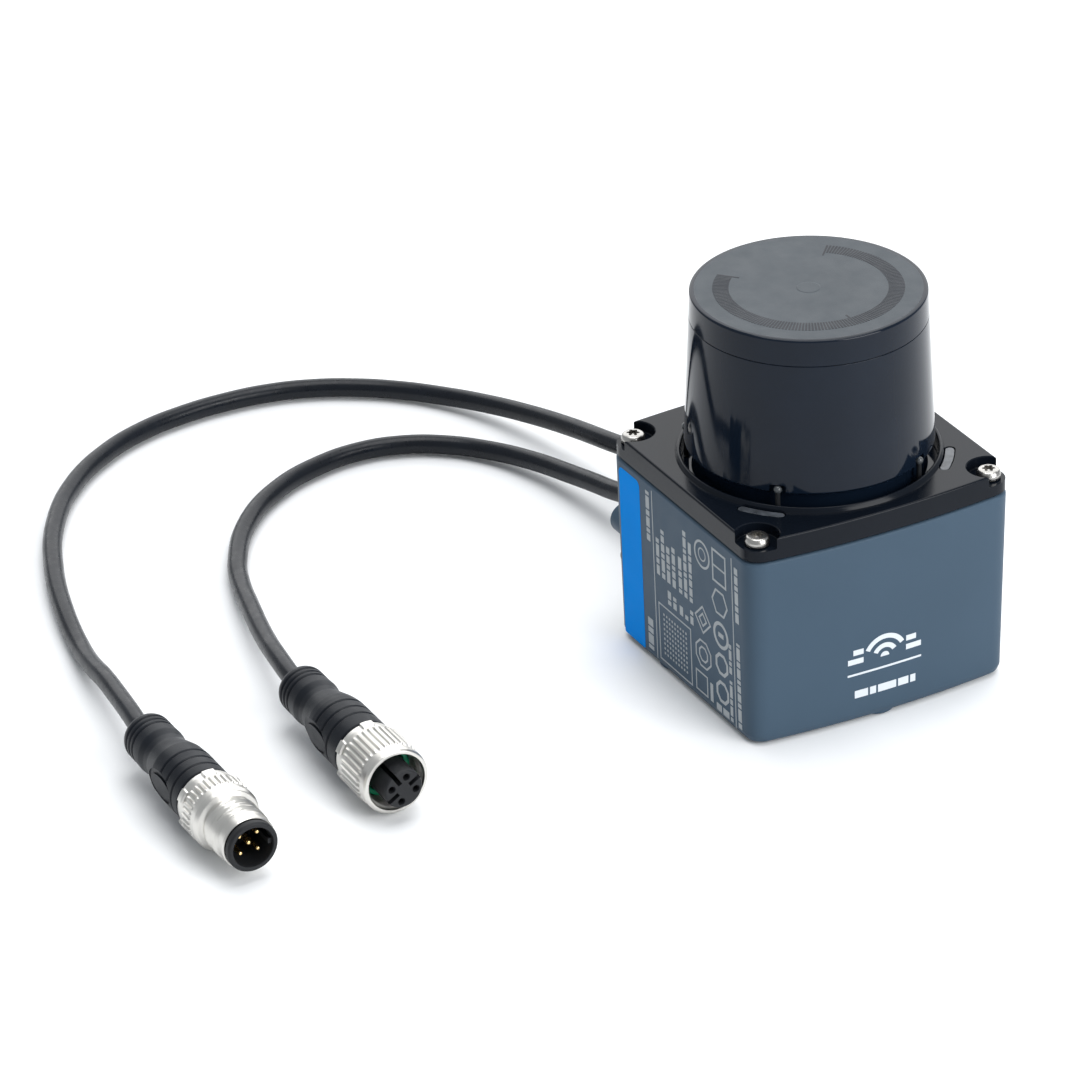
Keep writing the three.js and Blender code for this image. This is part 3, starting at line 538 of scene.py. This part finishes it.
def power_relief(radius, x, angle):
    """Lugs, knurling and the outer thread of the male ring."""
    if radius < 5.45:
        return radius
    if x < 36.45:
        lug = pulse(angle, LUGS, 0.36, 0.03) * between(x, 34.3, 36.3, 0.25)
        return radius + (POWER_RIB_R - radius) * lug
    if x < 40.4:
        rib = pulse(angle, RIBS, 0.42, 0.2) * between(x, 36.5, 40.3, 0.7)
        return radius + (POWER_RIB_R - radius) * rib
    if 44 < x < 50.2:
        return radius + 0.42 * (thread(x, angle) - 0.3) * between(x, 44, 50.2, 0.5)
    return radius


def make_power_nut():
    outer = rounded([(4.95, 33.8), (6.4, 33.8, 0.3), (6.6, 35, 0), (6.65, 40.4, 0.1), (7, 40.8, 0.2),
                     (7, 42.2, 0.5), (6.6, 43.2, 0.4), (5.6, 43.6, 0.3), (5.6, 52.1, 0.2),
                     (5.4, 52.5)])
    inner = [(5.3, 52.5), (5.3, 41), (4.95, 40.7)]
    nut = turn("power_nut_knurled", dense(outer, 0.16) + inner, RIBS * 8, "X", POWER_PLUG,
               power_relief)
    return dress(nut, "power_ring", NICKEL, "nickel", "power_nut", sharp=50)


def make_power_insert():
    """A black keyed cup for the pins."""
    cup = turn("power_insert_cup", rounded([
        (0, 40.9), (4.85, 40.9), (4.85, 52.8), (5.3, 52.8, 0.1), (5.3, 53.9, 0.3), (5, 54.3, 0.25),
        (4.3, 54.3, 0.15), (4.15, 53.9), (4.15, 45.5), (0, 45.5),
    ]), 64, "X")
    key = slab("key", 45, 53.5, 3.4, 4.5, -0.55, 0.55)
    combine(cup, "UNION", [key])
    pin_reach = 1.88
    sides = (-pin_reach, pin_reach)
    spots = [(0, 0)] + [(y, z) for y in sides for z in sides]
    collars = [turn("collar", [(0, 45), (1.25, 45), (1.25, 45.9), (1.1, 46.1), (0, 46.1)], 24, "X",
                    (0, y, z)) for y, z in spots]
    combine(cup, "UNION", collars)
    holes = [turn("hole", [(0, 43.5), (0.8, 43.5), (0.8, 47), (0, 47)], 24, "X", (0, y, z))
             for y, z in spots]
    combine(cup, "DIFFERENCE", holes)
    cup.data.transform(Matrix.Translation(POWER_PLUG * MM))
    return dress(cup, "base", MATTE, "matte_black", "power_insert")


def make_pins():
    """Five gold contacts, each standing for its CAD pin."""
    pins = []
    for i in range(1, 6):
        low, high = node_box(f"power_pin_{i}")
        middle = (low + high) / 2
        end = high.x
        profile = rounded([(0, low.x), (0.5, low.x), (0.5, end - 0.3, 0.3), (0.3, end, 0.25),
                           (0, end)])
        pin = turn(f"gold_pin_{i}", profile, 24, "X", (0, middle.y, middle.z))
        pins.append(dress(pin, "base", GOLD, "gold", f"power_pin_{i}"))
    return pins


def data_relief(radius, x, angle):
    """Lugs, knurling and the inner thread of the female nut."""
    if radius < 6.05:
        if 38.6 < x < 47.6 and radius > 5.5:
            return 6.0 - 0.5 * thread(x, angle) * between(x, 38.6, 47.6, 0.4)
        return radius
    if x < 37:
        lug = pulse(angle, LUGS, 0.36, 0.03) * between(x, 34.9, 36.8, 0.25)
        return radius + (DATA_LUG_R - radius) * lug
    if x < 45.6:
        rib = pulse(angle, RIBS, 0.40, 0.22) * between(x, 37.1, 45.5, 1.0)
        return radius + (DATA_RIB_R - radius) * rib
    return radius


def make_data_nut():
    outer = rounded([(4.9, 34.7), (6.5, 34.7, 0.3), (6.7, 36, 0), (6.75, 45.5, 0.1), (7, 45.9, 0.2),
                     (7, 47.4, 0.5), (6.7, 48, 0.3), (6.1, 48, 0.1)])
    inner = rounded([(6.0, 47.8), (6.0, 37.9), (4.9, 37.6)])
    nut = turn("data_nut_knurled", dense(outer, 0.2) + dense(inner, 0.16), RIBS * 8, "X", DATA_PLUG,
               data_relief)
    return dress(nut, "data_ring", NICKEL, "nickel", "data_nut", sharp=50)


def make_data_insert():
    """A black socket body with four contact holes, slots and a keyway."""
    body = turn("data_socket", rounded([
        (0, 38.2), (4.05, 38.2), (4.05, 50.8, 0.3), (3.8, 51.1, 0.2), (0, 51.1)]), 64, "X")
    offset = math.radians(-13.5)
    contact_r = 2.65
    tools = []
    for i in range(4):
        angle = math.pi / 2 * i + offset
        spot = (0, contact_r * math.cos(angle), contact_r * math.sin(angle))
        tools.append(turn("hole", [(0, 43), (0.62, 43), (0.62, 50.8), (0.85, 51.2), (0, 51.2)], 32,
                          "X", spot))
    for degrees, start in ((45, 47), (135, 39), (225, 47)):
        key = slab("key", start, 52, 1.4, 5, -0.45, 0.45)
        key.data.transform(Matrix.Rotation(math.radians(degrees) + offset, 4, "X"))
        tools.append(key)
    combine(body, "DIFFERENCE", tools)
    body.data.transform(Matrix.Translation(DATA_PLUG * MM))
    return dress(body, "base", MATTE, "matte_black", "data_insert")


def make_data_seal():
    ring = turn("data_seal_ring", rounded([
        (4.35, 38.2, 0.3), (5.4, 38.2, 0.4), (5.4, 43, 0.4), (4.35, 43, 0.3)], closed=True), 64,
        "X", DATA_PLUG)
    return dress(ring, "base", GREEN, "green_rubber", "data_seal")


def make_cables():
    power_pieces = [
        make_gland("gland_power", CORD_Y),
        make_overmould("power_overmould", POWER_PLUG, 23, 33.4, 40.5, 6.3),
        make_power_nut(), make_power_insert(), *make_pins(),
    ]
    data_pieces = [
        make_gland("gland_data", -CORD_Y),
        make_overmould("data_overmould", DATA_PLUG, 22.6, 34.3, 37.8, 6.4),
        make_data_nut(), make_data_insert(), make_data_seal(),
    ]


make_cables()


# ---- housing --------------------------------------------------------------------------------
SCREWS = {f"lid_screw_{i}": (node_box(f"lid_screw_{i}")[0] + node_box(f"lid_screw_{i}")[1]) / 2
          for i in range(1, 5)}
REAR_BOSS_END = node_box("housing")[0].x
VENT = (node_box("vent_plug")[0] + node_box("vent_plug")[1]) / 2


def make_housing():
    """A drafted die-cast shell with screw columns, pads, rear bosses and cable holes."""
    shell = loft("housing_casting", body_levels([
        (DRAFT + 1.1, PAD_H), (DRAFT + 0.45, PAD_H, 0.8), (DRAFT, FOOT_Z + 0.4, 1.0),
        (0, HOUSING_TOP, 0.65), (2.2, HOUSING_TOP, 0.2), (DRAFT + 2.2, 3.5),
    ]))
    columns = [prism("column", circle(spot.x, spot.y, 3.6), 3, HOUSING_TOP)
               for spot in SCREWS.values()]
    keep = loft("keep", [(PAD_H + 1, body_outline(DRAFT + 0.3)), (HOUSING_TOP, body_outline(0.5))])
    column = combine(columns[0], "UNION", columns[1:])
    combine(column, "INTERSECT", [keep])
    pads = [turn("pad", rounded([(0, 0), (r, 0, 0.2), (r, 3)], steps=3) + [(0, 3)], 48, "Z", (x, y, 0))
            for x, y, r in PADS]
    bosses = [turn("boss", rounded([(0, REAR_BOSS_END), (3.3, REAR_BOSS_END, 0.4), (3.3, -28, 0)])
                   + [(3.5, -27.4), (0, -27.4)], 48, "X", (0, y, BOSS_Z)) for y in (-BOSS_Y, BOSS_Y)]
    combine(shell, "UNION", [column, *pads, *bosses])
    holes = [prism("hole", circle(spot.x, spot.y, 1.65, 24), 31, HOUSING_TOP + 1)
             for spot in SCREWS.values()]
    holes += [prism("hole", circle(0, y, 1.35, 24), -1, 2.7) for y in (-BASE_HOLE_Y, BASE_HOLE_Y)]
    holes += [turn("hole", [
        (0, REAR_BOSS_END - 1), (1.7, REAR_BOSS_END - 1), (1.3, REAR_BOSS_END + 0.4), (1.3, -29),
        (0, -29)], 32, "X", (0, y, BOSS_Z)) for y in (-BOSS_Y, BOSS_Y)]
    holes += [turn("hole", [(0, -32), (3.2, -32), (3.2, -25), (0, -25)], 48, "X", (0, y, CORD_Z))
              for y in (-CORD_Y, CORD_Y)]
    combine(shell, "DIFFERENCE", holes)
    dress(shell, "base", PAINT, "housing_paint", "housing")


def make_vent():
    """A domed breather plug on the back wall."""
    wall = -end_wall(VENT.y, VENT.z)

    def grip(radius, x, angle):
        if radius < 2.3:
            return radius
        return radius - 0.14 * pulse(angle, 18, 0.5, 0.2) * between(x, wall - 2.4, wall - 0.5, 0.2)

    plug = turn("vent_breather", rounded([
        (0, wall - 3.1), (1.9, wall - 3.1, 0.5), (2.6, wall - 2.5, 0.4), (2.6, wall - 0.4, 0.2),
        (1.9, wall - 0.4), (1.9, wall + 2), (0, wall + 2)]), 48, "X", (0, VENT.y, VENT.z), grip)
    dress(plug, "base", MATTE, "matte_black", "vent_plug")


# ---- lid ------------------------------------------------------------------------------------
WINDOW_INNER, WINDOW_OUTER = 26.9, 28.8
WINDOW_FROM, WINDOW_TO = 40.5, 60.5           # degrees round from the front
WINDOW_R = (WINDOW_INNER + WINDOW_OUTER) / 2
WINDOW_HALF = (WINDOW_OUTER - WINDOW_INNER) / 2


def window_outline(side, grow):
    """A curved slot with round ends on a circle round the hood."""
    half = WINDOW_HALF + grow
    pad = math.degrees(WINDOW_HALF / WINDOW_R)
    a0, a1 = math.radians(WINDOW_FROM + pad), math.radians(WINDOW_TO - pad)
    points = []
    for k in range(13):
        a = a0 + (a1 - a0) * k / 12
        points.append(((WINDOW_R + half) * math.cos(a), (WINDOW_R + half) * math.sin(a)))
    for k in range(1, 8):
        a = a1 + math.pi * k / 8
        points.append((WINDOW_R * math.cos(a1) + half * math.cos(a),
                       WINDOW_R * math.sin(a1) + half * math.sin(a)))
    for k in range(13):
        a = a1 - (a1 - a0) * k / 12
        points.append(((WINDOW_R - half) * math.cos(a), (WINDOW_R - half) * math.sin(a)))
    for k in range(1, 8):
        a = a0 + math.pi + math.pi * k / 8
        points.append((WINDOW_R * math.cos(a0) + half * math.cos(a),
                       WINDOW_R * math.sin(a0) + half * math.sin(a)))
    return [(x, side * y) for x, y in points]


def pocket_tools(spot):
    """Cutters for a round screw pocket and for the low rim at the corner outside it."""
    sx, sy = math.copysign(1, spot.x), math.copysign(1, spot.y)
    round_cut = turn("pocket", rounded([
        (0, POCKET_Z), (POCKET_R, POCKET_Z, 0.3), (POCKET_R, LID_TOP - 0.2),
        (POCKET_R + 0.7, LID_TOP + 0.5), (0, LID_TOP + 0.5)]), 64, "Z", (spot.x, spot.y, 0))
    xs = sorted((spot.x, sx * (HALF + 2)))
    ys = sorted((spot.y, sy * (HALF + 2)))
    return [round_cut, slab("corner", *xs, *ys, RIM_Z, LID_TOP + 1)]


def make_lid():
    """Glossy lid frame with a rolled bead round the hood and a pocket for each screw."""
    lid = loft("lid_moulding", body_levels([
        (LID_INSET + 0.15, LID_BOTTOM), (LID_INSET, LID_BOTTOM + 0.15), (LID_INSET, LID_TOP, 0.45),
        (LID_INSET + 1, LID_TOP)]))
    bead = turn("bead", rounded([
        (OPENING_R - 1, LID_TOP - 1), (OPENING_R + 1.2, LID_TOP - 1), (OPENING_R + 1.2, LID_TOP - 0.1),
        (OPENING_R + 0.9, LID_TOP + 0.45, 0.3), (OPENING_R + 0.5, LID_TOP + 0.95, 0.3),
        (OPENING_R + 0.05, LID_TOP + 0.8, 0.3), (OPENING_R - 0.2, LID_TOP + 0.2),
        (OPENING_R - 1, LID_TOP + 0.2)]), 128)
    combine(lid, "UNION", [bead])
    under = loft("under", [(LID_BOTTOM - 1, body_outline(2.2)), (LID_UNDER, body_outline(2.2))])
    columns = [prism("column", circle(spot.x, spot.y, POCKET_R + 0.4), 40, LID_TOP)
               for spot in SCREWS.values()]
    combine(under, "DIFFERENCE", columns)
    opening = turn("opening", [(0, 40), (OPENING_R, 40), (OPENING_R, LID_TOP + 0.4),
                               (OPENING_R - 0.3, LID_TOP + 2), (0, LID_TOP + 2)], 128)
    tools = [under, opening]
    for spot in SCREWS.values():
        tools += pocket_tools(spot)
        tools.append(prism("hole", circle(spot.x, spot.y, 1.75, 24), 40, POCKET_Z + 1))
    for side in (-1, 1):
        tools.append(prism("slot", window_outline(side, 0.2), LID_UNDER - 2, LID_TOP + 1))
    combine(lid, "DIFFERENCE", tools)
    dress(lid, "base", LID_BLACK, "gloss_black", "lid_frame")


def make_status_windows():
    """Two frosted lights, set a little below the lid's face."""
    for side, name in ((-1, "left"), (1, "right")):
        top = LID_TOP - 0.1
        levels = [(LID_UNDER, 0), (top - 0.2, 0), (top - 0.05, -0.06), (top, -0.2)]
        window = loft(f"status_light_{name}", [(z, window_outline(side, grow)) for z, grow in levels])
        dress(window, "base", GUIDE, "light_guide", f"status_window_{name}")


def lobes(outer, inner):
    """Outline of a six-lobed driver recess."""
    mean, swing = (outer + inner) / 2, (outer - inner) / 2
    count = 72
    points = []
    for i in range(count):
        angle = 2 * math.pi * i / count
        radius = mean + swing * math.cos(6 * angle)
        points.append((radius * math.cos(angle), radius * math.sin(angle)))
    return points


def make_screws():
    """Pan-head screws, each with a pin in its driver recess and turned its own way."""
    seat = POCKET_Z + 0.2
    for name, spot in SCREWS.items():
        screw = turn(name + "_pan_head", rounded([
            (0, 32), (1.1, 32, 0), (1.4, 32.6), (1.4, seat), (2.45, seat, 0.15),
            (2.5, seat + 0.9, 0.5), (2.15, seat + 1.75, 0.7), (0.01, seat + 2.05),
            (0, seat + 2.05)]), 64)
        recess = prism("recess", lobes(1.35, 0.92), seat + 0.8, seat + 3)
        combine(screw, "DIFFERENCE", [recess])
        post = turn("post", rounded([(0, seat + 0.5), (0.34, seat + 0.5), (0.34, seat + 1.5, 0.15),
                                     (0, seat + 1.6)]), 24)
        combine(screw, "UNION", [post])
        screw.data.transform(Matrix.Rotation(math.radians(17 * spot.x), 4, "Z"))
        screw.data.transform(Matrix.Translation((spot.x * MM, spot.y * MM, 0)))
        dress(screw, "base", STEEL, "steel", name)


# ---- optics hood ----------------------------------------------------------------------------
def hood_radius(z):
    """Outer radius of the cone of the hood and its cap."""
    return SKIRT_R + (CAP_R - SKIRT_R) * (z - SKIRT_Z) / (TOTAL_H - SKIRT_Z)


def make_hood():
    """Glossy conical optics cover with a notch in its skirt over each ball lens."""
    top = SEAM_Z - SEAM_HALF
    hood = turn("optics_hood_shell", rounded([
        (NECK_R - HOOD_WALL, FLANGE_Z), (FLANGE_R, FLANGE_Z), (FLANGE_R, LID_UNDER - GAP),
        (NECK_R, LID_UNDER - GAP, 0.4), (NECK_R, SKIRT_Z, 0.3), (SKIRT_R - 0.6, SKIRT_Z, 0.2),
        (SKIRT_R, SKIRT_Z + 0.5, 0.5), (hood_radius(top), top, 0.12),
        (hood_radius(top) - HOOD_WALL, top), (hood_radius(54) - HOOD_WALL, 54),
        (NECK_R - HOOD_WALL, SKIRT_Z + 0.6),
    ]), 192)
    notches = []
    half, rise = 1.7, 2.0
    arch = rounded([(-half, -1), (half, -1), (half, rise, 0.5), (-half, rise, 0.5)], closed=True)
    for degrees in MONITOR_ANGLES:
        notch = prism("notch", arch, 23.75, 27, Matrix.Rotation(math.pi / 2, 4, "X"))
        notch.data.transform(Matrix.Rotation(math.pi / 2, 4, "Z"))
        notch.data.transform(Matrix.Translation((0, 0, SKIRT_Z * MM)))
        notch.data.transform(Matrix.Rotation(math.radians(degrees), 4, "Z"))
        notches.append(notch)
    combine(hood, "DIFFERENCE", notches)
    dress(hood, "base", GLOSS, "gloss_black", "optics_hood", sharp=25)


def make_cap():
    """Cap with a glossy rim, a matte top whose grey colour is partly its own dark tone and partly
    painted sheen, and a shallow moulding mark in its middle.
    """
    base = SEAM_Z + SEAM_HALF
    spigot = hood_radius(SEAM_Z) - HOOD_WALL - GAP
    sunk = TOTAL_H - 0.02
    under = TOTAL_H - 1.8
    cap = turn("hood_cap_moulding", rounded([
        (spigot - 1, base - 1.6), (spigot, base - 1.6, 0.2), (spigot, base),
        (hood_radius(base), base, 0.12), (hood_radius(TOTAL_H - 1), sunk, 0.8),
        (TOP_EDGE_R, TOTAL_H), (MARK_R + 3, TOTAL_H), (MARK_R + 0.5, TOTAL_H - 0.08, 1.5),
        (MARK_R, TOTAL_H - 0.1, 0.3), (MARK_R - 0.15, sunk, 0.3), (0.01, sunk), (0, sunk),
        (0, under), (spigot - 1, under),
    ]), 192)
    dress(cap, "base", GLOSS, "gloss_black", "hood_cap", sharp=40)
    # Faces of the flat top take the grey material with the painted sheen.
    cap.data.materials.append(TOP_GREY_PAINTED_SHEEN)
    for face in cap.data.polygons:
        spot = face.center / MM
        if spot.z > TOTAL_H - 0.3 and math.hypot(spot.x, spot.y) < TOP_EDGE_R:
            face.material_index = 1


# ---- printed marks --------------------------------------------------------------------------
PRINT_LOW, PRINT_HIGH = -0.03, 0.035


def strip(mesh, rails, place, closed=False):
    """A thin raised band through pairs of points, laid on a surface by place(u, v, lift)."""
    rows = []
    for a, b in rails:
        rows.append([mesh.verts.new(place(*a, PRINT_LOW)), mesh.verts.new(place(*b, PRINT_LOW)),
                     mesh.verts.new(place(*b, PRINT_HIGH)), mesh.verts.new(place(*a, PRINT_HIGH))])
    pairs = list(zip(rows, rows[1:]))
    if closed:
        pairs.append((rows[-1], rows[0]))
    else:
        mesh.faces.new(rows[0])
        mesh.faces.new(rows[-1])
    for a, b in pairs:
        for i in range(4):
            j = (i + 1) % 4
            mesh.faces.new((a[i], a[j], b[j], b[i]))


def bar(u0, v0, u1, v1):
    """Rails of a filled box, with stations along its longer side."""
    step = 1.2
    if abs(u1 - u0) >= abs(v1 - v0):
        count = max(1, round(abs(u1 - u0) / step))
        return [((u0 + (u1 - u0) * k / count, v0), (u0 + (u1 - u0) * k / count, v1))
                for k in range(count + 1)]
    count = max(1, round(abs(v1 - v0) / step))
    return [((u0, v0 + (v1 - v0) * k / count), (u1, v0 + (v1 - v0) * k / count))
            for k in range(count + 1)]


def arc_band(u, v, inner, outer, start, stop, count):
    """Rails of part of a ring, angles in degrees."""
    rails = []
    for k in range(count + 1):
        a = math.radians(start + (stop - start) * k / count)
        rails.append(((u + inner * math.cos(a), v + inner * math.sin(a)),
                      (u + outer * math.cos(a), v + outer * math.sin(a))))
    return rails


def outline_band(u, v, reach, sides, width, turned=0.0):
    """Rails of a regular outline, closed by its caller."""
    shrink = width / math.cos(math.pi / sides)
    rails = []
    for k in range(sides):
        a = math.radians(turned) + 2 * math.pi * k / sides
        rails.append(tuple((u + r * math.cos(a), v + r * math.sin(a))
                           for r in (reach - shrink, reach)))
    return rails


def printed(name, open_bands, closed_bands, place, material, slot):
    """One piece of print from many bands."""
    mesh = bmesh.new()
    for rails in open_bands:
        strip(mesh, rails, place)
    for rails in closed_bands:
        strip(mesh, rails, place, closed=True)
    return dress(solid(name, mesh), "base", material, slot)


def on_side(x, z, lift):
    """A point of the label side, whose wall leans with the draft."""
    return Vector((x, -(HALF - wall_inset(z)) - lift, z))


def on_front(y, z, lift):
    """A point of the crowned front."""
    return Vector((end_wall(y, z) + lift, y, z))


def on_top(x, y, lift):
    """A point of the cap's flat top."""
    return Vector((x, y, TOTAL_H + lift))


def make_scale_ring():
    """Fine angle ticks over the scanned sector, with longer ones at its ends and at its middle."""
    bands = []
    reach, pitch = 138, 2
    for degrees in range(-reach, reach + 1, pitch):
        long_tick = degrees in (-reach, 0, reach)
        a = math.radians(degrees)
        along, across = Vector((math.cos(a), math.sin(a))), Vector((-math.sin(a), math.cos(a)))
        inner = 14.3 if long_tick else 15.7
        rails = []
        for radius in (inner, 18.9):
            half = 0.17 if radius < 16 else 0.2
            rails.append(tuple(tuple(along * radius + across * side * half) for side in (-1, 1)))
        bands.append(rails)
    printed("scale_ring", bands, [], on_top, TICK_BLACK, "matte_black")


def dashes(x0, x1, z0, z1, seed):
    """A column of short plain blocks, as a stand-in for a line of print."""
    blocks = []
    z = z0
    lengths = (1.5, 0.9, 2.2, 1.2, 2.8, 1.0, 1.8)
    k = seed
    while z < z1 - 0.5:
        end = min(z + lengths[k % len(lengths)], z1)
        blocks.append(bar(x0, z, x1, end))
        z = end + 0.38
        k += 1
    return blocks


def make_blue_panel():
    """A flat blue field with round upper corners, at the rear of the label side."""
    top, bottom, x0, x1 = 39.7, 1.2, -24.6, -16.2
    panel = rounded([(x0, bottom, 0.4), (x1, bottom, 0.5), (x1, top, 1.3), (x0, top, 1.3)],
                    closed=True)
    mesh = bmesh.new()
    low = [mesh.verts.new(on_side(x, z, PRINT_LOW)) for x, z in panel]
    high = [mesh.verts.new(on_side(x, z, PRINT_HIGH)) for x, z in panel]
    mesh.faces.new(low)
    mesh.faces.new(high)
    for i in range(len(low)):
        j = (i + 1) % len(low)
        mesh.faces.new((low[i], low[j], high[j], high[i]))
    dress(solid("blue_panel", mesh), "base", BLUE, "housing_paint")


def make_side_label():
    """Rules, columns of plain blocks, a field of dots and plain outlines, with no lettering."""
    rules = [bar(-11.25, 1.5, -10.95, 40.1), bar(20.55, 1.2, 20.85, 39.9)]
    columns = [
        (-13.7, -12.3, 27.9, 39.2), (-14.6, -12.5, 2.4, 9.6), (-10.0, -8.8, 21.8, 30.6),
        (-7.9, -6.6, 21.8, 33.3), (-5.8, -4.5, 21.8, 30.8), (-5.8, -4.5, 16.7, 20.1),
        (-3.6, -2.3, 21.8, 31.2), (-3.6, -2.3, 16.7, 20.1), (-1.0, 0.3, 21.8, 30.3),
        (-1.0, 0.3, 16.7, 18.8), (1.2, 2.4, 21.8, 37.0), (1.2, 2.4, 16.7, 17.7),
        (3.3, 4.5, 21.8, 35.3), (3.3, 4.5, 16.7, 19.8), (18.6, 19.6, 12.9, 19.6),
        (18.6, 19.6, 1.9, 11.2), (21.7, 23.0, 26.0, 38.9), (21.7, 23.0, 1.9, 21.3),
    ]
    text = [block for i, column in enumerate(columns) for block in dashes(*column, i)]
    frame_x, frame_z, frame_half = -3.3, 8.75, 6.6
    frame_band = outline_band(frame_x, frame_z, frame_half * math.sqrt(2), 4, 0.32, 45)
    dots = []
    count, dot = 9, 0.5
    pitch = 1.12
    for i in range(count):
        for j in range(count):
            u = frame_x + (i - (count - 1) / 2) * pitch
            v = frame_z + (j - (count - 1) / 2) * pitch
            dots.append(bar(u - dot / 2, v - dot / 2, u + dot / 2, v + dot / 2))
    closed = [
        frame_band,
        outline_band(8.9, 35.1, 3.1, 24, 0.5), outline_band(8.9, 35.1, 1.5, 24, 0.3),
        outline_band(8.4, 20.0, 3.3, 4, 0.4), outline_band(8.4, 20.0, 1.7, 4, 0.4),
        outline_band(8.2, 11.9, 3.4, 8, 0.4, 22.5),
        outline_band(8.2, 11.9, 1.9, 8, 0.4, 22.5), outline_band(7.2, 4.9, 3.4, 4, 0.35, 45),
        outline_band(15.5, 27.2, 3.2, 6, 0.45), outline_band(15.6, 19.9, 3.0, 32, 0.75),
        outline_band(15.6, 13.2, 2.7, 8, 0.7, 22.5), outline_band(15.6, 6.8, 2.7, 8, 0.7, 22.5),
    ]
    cells = [bar(12.9, 31.4, 13.4, 38.8), bar(17.9, 31.4, 18.4, 38.8), bar(13.4, 31.4, 17.9, 31.9),
             bar(13.4, 38.3, 17.9, 38.8), bar(13.4, 34.9, 17.9, 35.3)]
    fills = [bar(10.6, 2.5, 11.7, 6.7), bar(14.6, 19.4, 16.6, 20.4), bar(13.0, 1.8, 15.0, 3.4),
             bar(15.6, 1.8, 18.0, 3.4)]
    # The label takes the darker grey copy of the white print, which is painted shade.
    printed("side_label", rules + text + dots + cells + fills, closed, on_side, LABEL_PRINT_PAINTED_SHADE,
            "housing_paint")


def make_front_mark():
    """A plain fan of arcs between two bars, over a rule and a row of short bars."""
    middle = -0.3
    fan_z = 13.6
    bands = [arc_band(middle, fan_z, r, r + 1.05, 28, 152, 20) for r in (1.9, 3.95)]
    bands.append(arc_band(middle, fan_z, 0.01, 1.0, 0, 180, 12))
    for side in (-1, 1):
        bands.append(bar(middle + side * 4.9, 13.5, middle + side * 8.4, 14.7))
        bands.append(bar(middle + side * 4.9, 15.5, middle + side * 7.2, 16.7))
    bands.append(bar(-8.75, 10.85, 8.2, 11.3))
    y = -7.1
    for length in (3.0, 1.4, 4.2, 2.4, 1.2):
        bands.append(bar(y, 5.6, y + length, 7.3))
        y += length + 0.45
    printed("front_mark", bands, [], on_front, WHITE, "housing_paint")


def make_ball_lenses():
    """Small ball lenses under the skirt's notches, each on a stem coloured matte black as painted shade
    in the gap under the skirt.
    """
    centre = SKIRT_Z + 0.95
    profile = [(0, LID_UNDER), (0.5, LID_UNDER), (0.5, centre - 0.69)]
    start, steps = -0.94, 12
    for k in range(1, steps):
        angle = start + (math.pi / 2 - start) * k / steps
        profile.append((BALL_R * math.cos(angle), centre + BALL_R * math.sin(angle)))
    profile.append((0, centre + BALL_R))
    for i in range(1, 5):
        low, high = node_box(f"monitor_lens_{i}")
        middle = (low + high) / 2
        lens = turn(f"ball_lens_{i}", profile, 32, "Z", (middle.x, middle.y, 0))
        dress(lens, "base", LENS, "optical_glass", f"monitor_lens_{i}", sharp=50)
        # The stems take the matte black material as painted shade, so they stay dark in the gap under
        # the skirt.
        lens.data.materials.append(MATTE)
        for face in lens.data.polygons:
            face.material_index = int(face.center.z / MM < centre - 0.6)


make_housing()
make_vent()
make_lid()
make_status_windows()
make_screws()
make_hood()
make_cap()
make_ball_lenses()
make_scale_ring()
make_blue_panel()
make_side_label()
make_front_mark()


# ---- CAD nodes that stay --------------------------------------------------------------------
def dress_cad_nodes():
    """Gives every CAD node that is still shown the material of its slot."""
    slots = {row["node"]: row["material_slot"] for row in frame["record"]["subparts"]}
    for name, piece in frame["nodes"].items():
        piece.data.materials.clear()
        piece.data.materials.append(SLOT_MATERIALS[slots[name]])


dress_cad_nodes()


# ---- stage ----------------------------------------------------------------------------------
LIGHT_TARGET = Vector((0, 0, 0.04))
FLOOR_REACH = 4.0
FLOOR_DROP = 0.0002


def area_light(name, spot, size, power):
    """A softbox aimed at the middle of the scanner."""
    light = bpy.data.lights.new(name, "AREA")
    light.shape = "RECTANGLE"
    light.size, light.size_y = size
    light.energy = power
    lamp = bpy.data.objects.new(name, light)
    bpy.context.collection.objects.link(lamp)
    lamp.location = spot
    lamp.rotation_mode = "QUATERNION"
    lamp.rotation_quaternion = (LIGHT_TARGET - Vector(spot)).to_track_quat("-Z", "Y")


def make_stage():
    """White floor, pale surroundings and three softboxes."""
    mesh = bmesh.new()
    for x, y in ((-1, -1), (1, -1), (1, 1), (-1, 1)):
        mesh.verts.new((x * FLOOR_REACH / MM, y * FLOOR_REACH / MM, 0))
    mesh.verts.ensure_lookup_table()
    mesh.faces.new(mesh.verts)
    floor = solid("floor", mesh)
    floor.location.z = -FLOOR_DROP
    floor.data.materials.append(procedural("floor_white", (0.86, 0.87, 0.88), 0.7, tint=0.01))
    world = bpy.data.worlds.new("studio")
    world.use_nodes = True
    world.node_tree.nodes["Background"].inputs["Color"].default_value = (0.92, 0.96, 1.0, 1)
    world.node_tree.nodes["Background"].inputs["Strength"].default_value = 0.5
    bpy.context.scene.world = world
    bpy.context.scene.view_settings.view_transform = "Standard"
    area_light("key", (0.9, 0.35, 0.55), (0.7, 0.7), 10)
    area_light("top", (-0.1, 0.1, 1.3), (1.0, 1.0), 12)
    area_light("back", (-1.13, 0.65, 0.78), (2.4, 1.2), 16)


make_stage()
